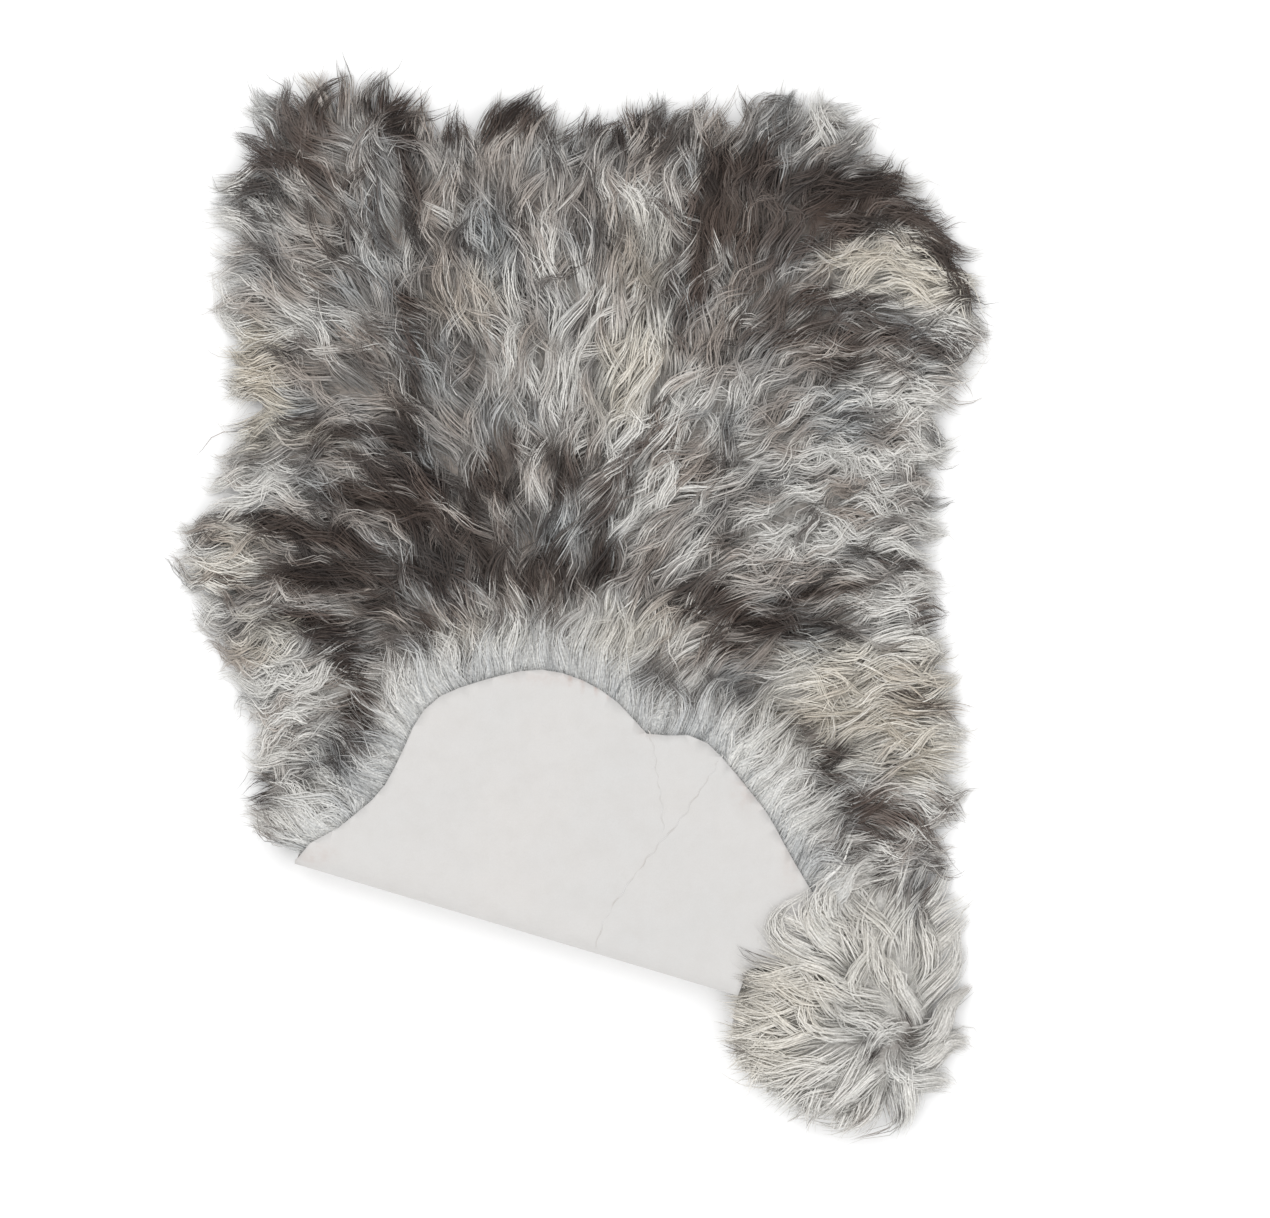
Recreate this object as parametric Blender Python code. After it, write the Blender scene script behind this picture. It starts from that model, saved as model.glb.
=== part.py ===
"""Sheepskin rug: a long-wool pelt that lies on the floor with its rump turned up over the wool.

Units are metres. X runs across the pelt, +Y towards the neck and +Z up from the floor.
One hide carries one fleece. Each is a sheet of two panels that meet on a seam, where the
turn-up starts to bend: the lying panel, flat on the floor with one hind leg, and the turned
panel, which goes round the bend and lies on top with its skin side up. A sheet is cut flat,
laid in place on its skin side and then extruded to its wool side.
"""

import math
import random
from collections import namedtuple

import bmesh
import bpy
from mathutils import Vector, noise
from mathutils.geometry import delaunay_2d_cdt

Flank = namedtuple("Flank", "y left right")
Turned = namedtuple("Turned", "along across")
Stretch = namedtuple("Stretch", "points lock_length")
Side = namedtuple("Side", "skin wool")
Look = namedtuple("Look", "colour roughness")

# The hide and its bend
HIDE_THICK = 0.0022
CLEARANCE = 0.0007
BEND_RADIUS = 0.025
BEND_STEPS = 9
FOLD_LEFT = Vector((-0.266, -0.249))
FOLD_ANGLE = math.radians(-16.6)
FOLD_LENGTH = 0.436
SLIT = 0.004
FLAP_SAG = 0.004
FLAP_SAG_REACH = 0.15
FLAP_WAVE = 0.001
FLAP_WAVE_LENGTH = 0.26

# The wool, and how it opens out from under the turned panel
PILE = 0.046
RIM_PILE = 0.024
RIM_ROUNDING = 0.055
LUMP = 0.009
LUMP_SIZE = 0.05
LAYER_GAP = 0.003
OPENING_START = 0.055
OPENING_REACH = 0.075
TUCK_START = 0.010
TUCK_REACH = 0.04

# The locks at the rim
NO_LOCKS = 0
RIM_LOCK = 0.040
FLAP_LOCK = 0.050
LOCK_VARIES = 0.3
LOCK_FILL = 0.84
LOCK_BELLY = 0.38
LOCK_CURL = 0.26
LOCK_CURL_PITCH = 5
LOCK_TIP = 0.003
LOCK_LIFT = 0.005
LOCK_SEED = 7

# The fan of long locks from the leg, which lies over the turned-up skin
FAN_CENTRE = Vector((0.309, -0.413))
FAN_START = math.radians(112)
FAN_END = math.radians(172)
FAN_INNER = 0.035
FAN_OUTER = 0.100
FAN_LOCK = 0.055
FAN_LOCKS = 7
FAN_ROOT = 0.020
FAN_BOTTOM = 0.0530
FAN_THICK = 0.010
FAN_STEP = 0.03

# How far apart the points of the sheets lie
OUTLINE_STEP = 0.020
HIDE_STEP = 0.060
FLAP_STEP = 0.030
FLEECE_STEP = 0.030
CURVE_STEPS = 12
WELD = 0.00001

# The flanks of the lying panel, from the shoulders to the rump
FLANKS = (
    Flank(y=0.402, left=-0.302, right=0.276),
    Flank(y=0.346, left=-0.313, right=0.323),
    Flank(y=0.294, left=-0.309, right=0.349),
    Flank(y=0.240, left=-0.302, right=0.346),
    Flank(y=0.180, left=-0.299, right=0.323),
    Flank(y=0.114, left=-0.313, right=0.309),
    Flank(y=0.050, left=-0.338, right=0.307),
    Flank(y=-0.003, left=-0.328, right=0.309),
    Flank(y=-0.064, left=-0.297, right=0.320),
    Flank(y=-0.138, left=-0.281, right=0.334),
    Flank(y=-0.196, left=-0.269, right=0.326),
)

# The neck end, from left to right
NECK = (
    Vector((-0.275, 0.448)),
    Vector((-0.228, 0.463)),
    Vector((-0.176, 0.459)),
    Vector((-0.136, 0.424)),
    Vector((-0.082, 0.442)),
    Vector((-0.038, 0.438)),
    Vector((-0.011, 0.417)),
    Vector((0.038, 0.435)),
    Vector((0.105, 0.437)),
    Vector((0.171, 0.442)),
    Vector((0.233, 0.436)),
)

# The hind leg that lies flat: its woolly side, down to its end, then its trimmed side
LEG_WOOLLY = (
    Vector((0.311, -0.242)),
    Vector((0.332, -0.304)),
    Vector((0.339, -0.370)),
    Vector((0.328, -0.428)),
    Vector((0.299, -0.472)),
    Vector((0.262, -0.493)),
)
LEG_TRIMMED = (
    Vector((0.222, -0.484)),
    Vector((0.185, -0.467)),
    Vector((0.157, -0.442)),
    Vector((0.147, -0.415)),
    Vector((0.150, -0.388)),
)

# The free edge of the turned panel as it lies, measured along the fold and across from it
FLAP_EDGE = (
    Turned(0.031, 0.046),
    Turned(0.058, 0.088),
    Turned(0.067, 0.125),
    Turned(0.072, 0.161),
    Turned(0.084, 0.188),
    Turned(0.112, 0.211),
    Turned(0.158, 0.238),
    Turned(0.191, 0.245),
    Turned(0.227, 0.241),
    Turned(0.258, 0.229),
    Turned(0.284, 0.213),
    Turned(0.321, 0.223),
    Turned(0.343, 0.220),
    Turned(0.362, 0.209),
    Turned(0.387, 0.192),
    Turned(0.415, 0.172),
    Turned(0.442, 0.145),
    Turned(0.470, 0.119),
    Turned(0.494, 0.096),
)
FLAP_UNDER_LEG = (
    Turned(0.494, 0.096),
    Turned(0.488, 0.066),
    Turned(0.464, 0.042),
    Turned(0.440, 0.030),
)

SKIN = Look(colour=(0.78, 0.76, 0.73, 1), roughness=0.8)
WOOL = Look(colour=(0.36, 0.34, 0.32, 1), roughness=0.95)

ALONG = Vector((math.cos(FOLD_ANGLE), math.sin(FOLD_ANGLE)))
ACROSS = Vector((-ALONG.y, ALONG.x))
ARC = math.pi * BEND_RADIUS
ROOT = HIDE_THICK + CLEARANCE


def smoothstep(share):
    """0 below 0, 1 above 1 and an even rise between."""
    share = min(1.0, max(0.0, share))
    return share * share * (3 - 2 * share)


def mix(start, end, share):
    return start + (end - start) * share


def on_floor(along, across):
    """The place in plan of a point given along the fold and across from it."""
    return FOLD_LEFT + ALONG * along + ACROSS * across


def round_bend(turned):
    """A place on the turned panel as (along, round), where round is its way from the seam."""
    return Vector((turned.along, ARC + turned.across - BEND_RADIUS))


def turned_place(point):
    """The place in plan of a point of the turned panel that lies past the bend."""
    return on_floor(point.x, BEND_RADIUS + point.y - ARC)


def through(points, step):
    """Evenly spaced points on a smooth curve through the given ones."""
    ends = [points[0] * 2 - points[1], *points, points[-1] * 2 - points[-2]]
    fine = []
    for before, start, end, after in zip(ends, ends[1:], ends[2:], ends[3:]):
        for i in range(CURVE_STEPS):
            t = i / CURVE_STEPS
            slope = (end - before) / 2
            bow = before - start * 2.5 + end * 2 - after / 2
            turn = (start * 3 - before - end * 3 + after) / 2
            fine.append(start + slope * t + bow * t**2 + turn * t**3)
    fine.append(points[-1])
    runs = [(b - a).length for a, b in zip(fine, fine[1:])]
    count = max(1, round(sum(runs) / step))
    even, gone, i = [], 0.0, 0
    for k in range(count):
        want = sum(runs) * k / count
        while gone + runs[i] < want:
            gone += runs[i]
            i += 1
        even.append(fine[i].lerp(fine[i + 1], (want - gone) / runs[i]))
    return [*even, fine[-1]]


def edges_of(loop):
    return zip(loop, loop[1:] + loop[:1])


def edge_distance(place, loop):
    """How far a place lies from a closed outline."""
    nearest = math.inf
    for a, b in edges_of(loop):
        run = b - a
        share = min(1.0, max(0.0, (place - a).dot(run) / run.length_squared))
        nearest = min(nearest, (place - a - run * share).length)
    return nearest


def is_inside(place, loop):
    crossings = 0
    for a, b in edges_of(loop):
        if (a.y > place.y) != (b.y > place.y):
            crossings += place.x < a.x + (b.x - a.x) * (place.y - a.y) / (b.y - a.y)
    return crossings % 2 == 1


def seam_places():
    count = round(FOLD_LENGTH / (2 * OUTLINE_STEP))
    return [FOLD_LENGTH * i / count for i in range(count + 1)]


def lying_stretches():
    """The outline of the lying panel, clockwise from the left end of the seam."""
    left = [Vector((flank.left, flank.y)) for flank in reversed(FLANKS)]
    right = [Vector((flank.right, flank.y)) for flank in FLANKS]
    woolly = [on_floor(0, BEND_RADIUS), *left, *NECK, *right, *LEG_WOOLLY]
    trimmed = [woolly[-1], *LEG_TRIMMED, on_floor(FOLD_LENGTH + SLIT, BEND_RADIUS)]
    seam = [on_floor(along, BEND_RADIUS) for along in reversed(seam_places())]
    return [
        Stretch(through(woolly, OUTLINE_STEP), RIM_LOCK),
        Stretch(through(trimmed, OUTLINE_STEP), NO_LOCKS),
        Stretch(seam, NO_LOCKS),
    ]


def turned_stretches():
    """The outline of the turned panel in (along, round), clockwise from the seam's left end."""
    turns = [ARC * i / BEND_STEPS for i in range(BEND_STEPS + 1)]
    free_edge = [round_bend(turned) for turned in FLAP_EDGE]
    under_leg = [round_bend(turned) for turned in FLAP_UNDER_LEG]
    left_end = [Vector((0, turn)) for turn in turns[:7]]
    right_end = [Vector((FOLD_LENGTH, turn)) for turn in reversed(turns)]
    return [
        Stretch([*left_end, Vector((0.010, ARC))], NO_LOCKS),
        Stretch(through(free_edge, OUTLINE_STEP), FLAP_LOCK),
        Stretch(through(under_leg, OUTLINE_STEP), NO_LOCKS),
        Stretch(right_end, NO_LOCKS),
        Stretch([Vector((along, 0)) for along in reversed(seam_places())], NO_LOCKS),
    ]


def joined(stretches):
    """One closed loop of the stretches' points, each point once."""
    loop = []
    for stretch in stretches:
        loop += [p for p in stretch.points if not loop or (p - loop[-1]).length > WELD]
    return loop[:-1] if (loop[-1] - loop[0]).length < WELD else loop


PELT_PLAN = joined(lying_stretches())
FLAP_PLAN = [turned_place(p) for p in joined(turned_stretches()) if p.y > ARC - WELD]


def flap_height(place):
    """The top of the turned-up skin over a place in plan: it sags a little past the bend."""
    across = (place - FOLD_LEFT).dot(ACROSS) - BEND_RADIUS
    along = (place - FOLD_LEFT).dot(ALONG)
    wave = math.sin(2 * math.pi * (along + across / 2) / FLAP_WAVE_LENGTH)
    sag = smoothstep(across / FLAP_SAG_REACH) * (FLAP_SAG - FLAP_WAVE * wave)
    return 2 * BEND_RADIUS - sag


def wool_top(place):
    """The top of the lying wool: pressed flat under the turned panel, lumpy and full elsewhere."""
    pressed = (flap_height(place) - LAYER_GAP) / 2
    if is_inside(place, FLAP_PLAN):
        return pressed
    from_bend = (place - FOLD_LEFT).dot(ACROSS) - BEND_RADIUS
    beside_leg = smoothstep(((place - FOLD_LEFT).dot(ALONG) - FOLD_LENGTH) / TUCK_REACH)
    beside_leg *= 1 - smoothstep((from_bend - OPENING_START) / OPENING_START)
    start = mix(OPENING_START, TUCK_START, beside_leg)
    reach = mix(OPENING_REACH, TUCK_REACH, beside_leg)
    away = smoothstep((edge_distance(place, FLAP_PLAN) - start) / reach)
    inland = smoothstep(edge_distance(place, PELT_PLAN) / RIM_ROUNDING)
    lump = LUMP * noise.noise(Vector((place.x, place.y, 0)) / LUMP_SIZE)
    return mix(pressed, mix(RIM_PILE, PILE + lump, inland), away)


def locks_along(points, length, chance):
    """The points of a stretch with a lock on each step, as (place, share of the way to a tip)."""
    outline = [(points[0], 0.0)]
    for i, (a, b) in enumerate(zip(points, points[1:])):
        run = (points[min(len(points) - 1, i + 3)] - points[max(0, i - 2)]).normalized()
        out = Vector((-run.y, run.x))
        lean = run * (LOCK_CURL * noise.noise(Vector((i / LOCK_CURL_PITCH, length, 0))))
        reach = length * (1 + LOCK_VARIES * chance.uniform(-1, 1))
        start = a.lerp(b, (1 - LOCK_FILL) / 2)
        end = a.lerp(b, (1 + LOCK_FILL) / 2)
        middle, half = a.lerp(b, 0.5), (end - start) * LOCK_BELLY
        belly = middle + (out - lean) * (reach / 2)
        tip = middle + (out + lean) * reach
        outline += [(start, 0.0), (belly - half, 0.5), (tip, 1.0), (belly + half, 0.5), (end, 0.0)]
    return [*outline, (points[-1], 0.0)]


def fringed(stretches, chance):
    """The closed outline of a sheet with its locks, as (place, share of the way to a tip)."""
    loop = []
    for stretch in stretches:
        points = [(point, 0.0) for point in stretch.points]
        if stretch.lock_length:
            points = locks_along(stretch.points, stretch.lock_length, chance)
        loop += [p for p in points if not loop or (p[0] - loop[-1][0]).length > WELD]
    return loop[:-1] if (loop[-1][0] - loop[0][0]).length < WELD else loop


def inner_points(outline, step, rows=()):
    """A staggered grid inside an outline and clear of it, with rows of its own round a bend."""
    loop = [point for point, _ in outline]
    left, low = min(p.x for p in loop), min(p.y for p in loop)
    wide, high = max(p.x for p in loop) - left, max(p.y for p in loop) - low
    row_step = step * math.sqrt(3) / 2
    places = [
        Vector((left + (i + j % 2 / 2) * step, low + j * row_step))
        for j in range(int(high / row_step) + 1)
        for i in range(int(wide / step) + 1)
    ]
    base = [point for point, share in outline if share == 0]
    if rows:
        places = [p for p in places if p.y > rows[-1] + step / 2]
    clear = [p for p in places if is_inside(p, base) and edge_distance(p, base) > step * 0.4]
    on_rows = [Vector((along, row)) for row in rows for along in seam_places()[1:-1]]
    return clear + [p for p in on_rows if is_inside(p, base)]


def lay(mesh, outline, inner, side):
    """Adds one panel to a sheet, with each vertex on its skin side and its wool side noted."""
    wool_side = mesh.verts.layers.float_vector["wool side"]
    points = [point for point, _ in outline] + inner
    shares = [share for _, share in outline] + [0.0] * len(inner)
    tips = [i for i, (_, share) in enumerate(outline) if share == 1]
    lock_bases = [(i - 2, i + 2) for i in tips]
    ring = list(range(len(outline)))
    made, _, faces, sources, _, _ = delaunay_2d_cdt(points, lock_bases, [ring], 1, WELD / 10, True)
    verts = []
    for point, source in zip(made, sources):
        share = shares[source[0]] if source else 0.0
        vert = mesh.verts.new(side.skin(point, share))
        vert[wool_side] = side.wool(point, share)
        verts.append(vert)
    rim = [point for point, _ in outline]
    for face in faces:
        if is_inside(sum((made[i] for i in face), Vector((0, 0))) / 3, rim):
            mesh.faces.new([verts[i] for i in face])


def extrude_to_wool_side(mesh):
    """Closes a sheet into a solid between its skin side and its wool side."""
    wool_side = mesh.verts.layers.float_vector["wool side"]
    bmesh.ops.remove_doubles(mesh, verts=mesh.verts, dist=WELD)
    bmesh.ops.recalc_face_normals(mesh, faces=mesh.faces)
    made = bmesh.ops.extrude_face_region(mesh, geom=mesh.faces[:])
    for vert in made["geom"]:
        if isinstance(vert, bmesh.types.BMVert):
            vert.co = vert[wool_side]
    bmesh.ops.recalc_face_normals(mesh, faces=mesh.faces)


def new_sheet():
    mesh = bmesh.new()
    mesh.verts.layers.float_vector.new("wool side")
    return mesh


def new_object(name, mesh, collection, look=None):
    made = bpy.data.objects.new(name, bpy.data.meshes.new(name))
    mesh.to_mesh(made.data)
    mesh.free()
    made.data.attributes.remove(made.data.attributes["wool side"])
    made.data.shade_smooth()
    collection.objects.link(made)
    if look:
        made.data.materials.append(material(name, look))
    return made


def material(name, look):
    made = bpy.data.materials.new(name)
    made.use_nodes = True
    shader = made.node_tree.nodes["Principled BSDF"]
    shader.inputs["Base Color"].default_value = look.colour
    shader.inputs["Roughness"].default_value = look.roughness
    return made


def on_bend(point, depth):
    """A point of the turned panel at a depth under its skin side."""
    along, way = point
    if way > ARC:
        place = turned_place(point)
        return Vector((*place, flap_height(place) - depth))
    angle, radius = way / BEND_RADIUS, BEND_RADIUS - depth
    place = on_floor(along, BEND_RADIUS - radius * math.sin(angle))
    return Vector((*place, BEND_RADIUS - radius * math.cos(angle)))


def hide_lying():
    return Side(
        skin=lambda point, share: Vector((*point, 0)),
        wool=lambda point, share: Vector((*point, HIDE_THICK)),
    )


def hide_turned():
    return Side(
        skin=lambda point, share: on_bend(point, 0),
        wool=lambda point, share: on_bend(point, HIDE_THICK),
    )


def fleece_lying():
    """Wool on the hide, whose locks come down to the floor past its edge."""

    def skin(point, share):
        return Vector((*point, ROOT * (1 - smoothstep(2 * share))))

    def wool(point, share):
        top = mix(RIM_PILE, LOCK_TIP, share) if share else wool_top(point)
        return Vector((*point, top))

    return Side(skin, wool)


def fleece_turned():
    """Wool under the turned panel, whose locks come out from under it on the lying wool."""

    def skin(point, share):
        if not share:
            return on_bend(point, ROOT)
        place = turned_place(point)
        tip = wool_top(place) + LOCK_LIFT + LOCK_TIP
        return Vector((*place, mix(flap_height(place) - ROOT, tip, share)))

    def wool(point, share):
        if point.y < ARC:
            return on_bend(point, BEND_RADIUS - LAYER_GAP / 2)
        place = turned_place(point)
        if share:
            return Vector((*place, wool_top(place) + LOCK_LIFT))
        return Vector((*place, (flap_height(place) + LAYER_GAP) / 2))

    return Side(skin, wool)


def fan_sides():
    """The leg's long locks: rooted in its wool and raised over the skin of the turned panel."""

    def raised(point):
        from_centre = (point - FAN_CENTRE).length - FAN_INNER
        return mix(FAN_ROOT, FAN_BOTTOM, smoothstep(1.5 * from_centre / (FAN_OUTER - FAN_INNER)))

    def under(point, share):
        return Vector((*point, FAN_BOTTOM if share else raised(point)))

    def over(point, share):
        top = FAN_BOTTOM + mix(FAN_THICK, LOCK_TIP, share) if share else raised(point) + FAN_THICK
        return Vector((*point, top))

    return Side(under, over)


def make_hide(pelt):
    """The skin: one sheet through both panels."""
    mesh = new_sheet()
    lying, turned = [(p, 0.0) for p in PELT_PLAN], [(p, 0.0) for p in joined(turned_stretches())]
    rows = [ARC * i / BEND_STEPS for i in range(1, BEND_STEPS + 1)]
    lay(mesh, lying, inner_points(lying, HIDE_STEP), hide_lying())
    lay(mesh, turned, inner_points(turned, FLAP_STEP, rows), hide_turned())
    extrude_to_wool_side(mesh)
    return new_object("hide", mesh, pelt, SKIN)


def make_fleece(pelt, chance):
    """The wool: one lumpy slab through both panels, with locks at its rim."""
    mesh = new_sheet()
    lying, turned = fringed(lying_stretches(), chance), fringed(turned_stretches(), chance)
    rows = [ARC * i / BEND_STEPS for i in range(1, BEND_STEPS + 1)]
    lay(mesh, lying, inner_points(lying, FLEECE_STEP), fleece_lying())
    lay(mesh, turned, inner_points(turned, FLEECE_STEP, rows), fleece_turned())
    extrude_to_wool_side(mesh)
    return new_object("fleece", mesh, pelt, WOOL)


def make_fan(helpers, chance):
    """The leg's fan of locks, which is fused into the fleece."""
    mesh = new_sheet()

    def arc(radius, start, end, count):
        angles = [mix(start, end, i / count) for i in range(count + 1)]
        return [FAN_CENTRE + Vector((math.cos(a), math.sin(a))) * radius for a in angles]

    outline = fringed(
        [
            Stretch(arc(FAN_OUTER, FAN_END, FAN_START, FAN_LOCKS), FAN_LOCK),
            Stretch(arc(FAN_INNER, FAN_START, FAN_END, FAN_LOCKS // 2), NO_LOCKS),
        ],
        chance,
    )
    lay(mesh, outline, inner_points(outline, FAN_STEP), fan_sides())
    extrude_to_wool_side(mesh)
    fan = new_object("fan", mesh, helpers)
    fan.hide_render = True
    fan.display_type = "WIRE"
    return fan


def centre(pieces, around):
    """Moves the pieces so that the middle of the given ones is over the origin."""
    corners = [vert.co for piece in around for vert in piece.data.vertices]
    middle_x = (min(c.x for c in corners) + max(c.x for c in corners)) / 2
    middle_y = (min(c.y for c in corners) + max(c.y for c in corners)) / 2
    for piece in pieces:
        for vert in piece.data.vertices:
            vert.co -= Vector((middle_x, middle_y, 0))


def main():
    for old in list(bpy.data.objects):
        bpy.data.objects.remove(old)
    pelt = bpy.data.collections.new("Sheepskin rug")
    helpers = bpy.data.collections.new("Helpers")
    bpy.context.scene.collection.children.link(pelt)
    bpy.context.scene.collection.children.link(helpers)
    chance = random.Random(LOCK_SEED)
    hide = make_hide(pelt)
    fleece = make_fleece(pelt, chance)
    fan = make_fan(helpers, chance)
    centre([hide, fleece, fan], around=[hide, fleece])
    union = fleece.modifiers.new("Fan", "BOOLEAN")
    union.operation = "UNION"
    union.object = fan


main()
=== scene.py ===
"""Looks of the sheepskin rug: its skin, the wool that grows on it, the floor, light and camera.

Units are metres, in the model's own axes. The tables of how the wool lies and how it is coloured
give each place as it is seen in the 1270 x 1218 photograph, and on_rug turns it into metres.
The heights of the wool and the outline of the skin are read from the solids.
"""

import math
from collections import namedtuple

import bmesh
import bpy
import numpy as np
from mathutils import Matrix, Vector, kdtree, noise
from mathutils.bvhtree import BVHTree


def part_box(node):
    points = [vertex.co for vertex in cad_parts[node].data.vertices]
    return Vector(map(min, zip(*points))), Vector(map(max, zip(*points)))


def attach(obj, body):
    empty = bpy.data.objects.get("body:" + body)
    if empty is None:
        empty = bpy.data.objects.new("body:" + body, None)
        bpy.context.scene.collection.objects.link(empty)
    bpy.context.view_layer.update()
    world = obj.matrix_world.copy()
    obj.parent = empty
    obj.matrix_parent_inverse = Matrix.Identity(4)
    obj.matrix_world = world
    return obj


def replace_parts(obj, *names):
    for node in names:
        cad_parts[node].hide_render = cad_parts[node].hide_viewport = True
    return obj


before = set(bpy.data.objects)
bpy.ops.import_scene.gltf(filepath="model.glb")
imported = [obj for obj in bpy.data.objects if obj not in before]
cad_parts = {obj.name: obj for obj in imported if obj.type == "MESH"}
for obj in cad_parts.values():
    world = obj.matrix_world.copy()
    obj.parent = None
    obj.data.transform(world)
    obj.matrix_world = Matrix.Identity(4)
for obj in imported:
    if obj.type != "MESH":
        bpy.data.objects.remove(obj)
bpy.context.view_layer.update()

Locks = namedtuple("Locks", "lifts tones luck")

# The photograph: its scale, and the pixel over the left end of the fold
METRES_PER_PIXEL = 0.00095
FOLD_PIXEL = (297, 862.1)
PHOTO_WIDE = 1270
PHOTO_HIGH = 1218
CAMERA_HEIGHT = 4.0
SENSOR = 36.0

# The hide and its bend, as the solids have them
HIDE_THICK = 0.0022
BEND_RADIUS = 0.025
FOLD_ANGLE = math.radians(-16.6)
FOLD_FROM_CORNER = np.array((0.07255, 0.24400))
FLAP_SAG = 0.004
FLAP_SAG_REACH = 0.15
FLAP_WAVE = 0.001
FLAP_WAVE_LENGTH = 0.26
FOLD_LENGTH = 0.436

# The finer cuts of the skin's mesh, and its soft ripples where it is turned up
JOIN_GAP = 0.00001
CUT_SLACK = 0.00002
SIDE_SLACK = 0.0006
SKIN_PITCH = 0.015
BEND_TURN = math.radians(6)
TURNED_UP = 0.030
RIPPLE_RISE = 0.015
RIPPLE = 0.0009
RIPPLE_SIZE = 0.055
FINE_RIPPLE = 0.0003
FINE_RIPPLE_SIZE = 0.017
SHARP_EDGE = math.radians(45)

# The maps of the wool in plan
MAP_STEP = 0.003
MAP_HALF = np.array((0.465, 0.585))
SEED = 11

# Soft limits on the maps, as where each starts to rise and how far it takes
PATCH_RIM = (0.55, 0.9)
FLAP_SHELTER = (0.022, 0.038)
# LEG_PIT is how far the painted shade in the pit at the leg's middle reaches.
LEG_PIT = (0.002, 0.010)
RIM_LIGHT = (0.003, 0.024)
RIM_LIGHT_ROW = 160
RIM_LIGHT_FADE = 0.020
BASE_RIM = (-0.002, 0.030)
LEG_PIT_BASE = 0.014

# Heights and depths that tell the regions apart
ON_GROUND = 0.001
OVER_WOOL = 0.035
SHARE_OF_WOOL = 0.02

# The wool's form
PILE = 0.046
PRESSED_PILE = 0.0235
RIM_PILE = 0.024
OUTSIDE_REACH = 0.046
OUTSIDE_PILE = 0.002
BASE_SHARE = 0.50
BASE_LEAST = 0.0035
BASE_IN_PIT = 0.005
PIT_LEAST = 0.0045
BASE_STEP = 3
BASE_GAP = 0.0005
TURNED_BASE_GAP = 0.0008
TURNED_BASE_THICK = 0.020
TURNED_BASE_RIM = 0.012
LOCK_PITCH = 0.0165
LYING_STRANDS = 58000
LEG_STRANDS = 1300
FRINGE_STRANDS = 12500
STRAND_POINTS = 8
GUIDE_STEPS = 20
STRAND_LENGTH = 0.092
FRINGE_LENGTH = 0.088
FRINGE_DEPTH = 0.020
FRINGE_PITCH = 0.010
FRINGE_CURL = 0.5
FRINGE_LEAN = np.array((0.0, 0.70))
FRINGE_FROM_FOLD = 0.010
FRINGE_FACING = -0.25
FRINGE_UNDER_LEG = 0.02
LOCK_MIXING = 0.0018
LEG_MIXING = 0.008
LEG_MIXING_REACH = 0.050
FRINGE_MIXING = 0.0060
STRAND_WIDTH = 0.00084
MOST_STRANDS_A_PIECE = 13000
UV_COLUMNS = 256
UV_ROWS = 51
UV_SIDES = (0.30, 0.70)
UV_ENDS = (0.06, 0.94)

# How locks run: their waves and swing from straight wool to curly, and how far chance moves them
WAVES_A_LOCK = (0.75, 1.9)
WAVES_VARY = (0.75, 1.25)
SWING = (20, 88)
SWING_POWER = 1.2
SWING_VARIES = (0.6, 1.35)
WAVE_AT_ROOT = 0.45
PHASE_DRIFT = 3.0
PHASE_VARIES = 0.8
LOCK_SPREAD = 13
LEG_SPREAD = 22
LEG_SPREAD_REACH = 0.040
BIAS_DRIFT = 26
TURN_VARIES = 32
TURN_DRIFT = 40
TURN_CENTRE = 0.2
FRINGE_FREEDOM = 0.75
FRINGE_YIELDS = (0.15, 0.65)
LYING_LENGTHS = (0.8, 1.2)
FRINGE_LENGTHS = (0.75, 1.2)

# How strands are drawn in to their lock, strayed by chance and stopped at the outline
LYING_DRAW = (0.20, 0.85)
FRINGE_DRAW = (0.0, 0.35)
TIGHT_SHARE = 0.4
TIGHT_DRAW = 0.35
RINGLET_DRAW = 0.30
RINGLET_CURL = (0.55, 0.30)
DRAW_POWER = 1.6
WISP_RATE = (1.0, 2.6)
WISP_SIDE_RATE = 0.8
WISP_SIZE = (2.0, 0.0010)
RIM_ROOM = 0.004
RIM_VARIES = 0.0075
RIM_LOCKS = 0.006
STRAY_SHARE = 0.06
STRAY_REACH = 0.012
FREE_OF_FLAP = 0.45
OVER_SKIN_VARIES = (0.002, 0.006)
LYING_SHORTEST = 0.72
FRINGE_SHORTEST = 0.50
LEAST_STRAND = 0.06

# The heights of strands on their way from root to tip
LOCK_DEPTH = 0.46
LOCK_SIDES = 0.0045
RIPPLE_HEIGHT = 0.0014
RIPPLES_A_STRAND = 1.6
TIP_DROOP = 0.0015
ROOT_RISE = 0.42
THIN_PILE = 0.02
CROSSING = (-0.035, 0.033)
RIDE_HEIGHT = 0.0095
RIDE_LIFT = 0.3
RIDE_SETTLES = 0.85
OFF_FLOOR = 0.0007
OFF_SKIN = 0.0015
FRINGE_FALL = 0.060
FRINGE_THICK = 0.010
FRINGE_DROOP = 0.004

# The shape of one ribbon
WIDER_IF_LIGHT = (0.95, 1.35)
WIDTHS_VARY = (0.65, 1.3)
ROLL_BY_SIDE = -48
ROLL_VARIES = 13
ROLL_AT_TIP = 0.6

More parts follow.
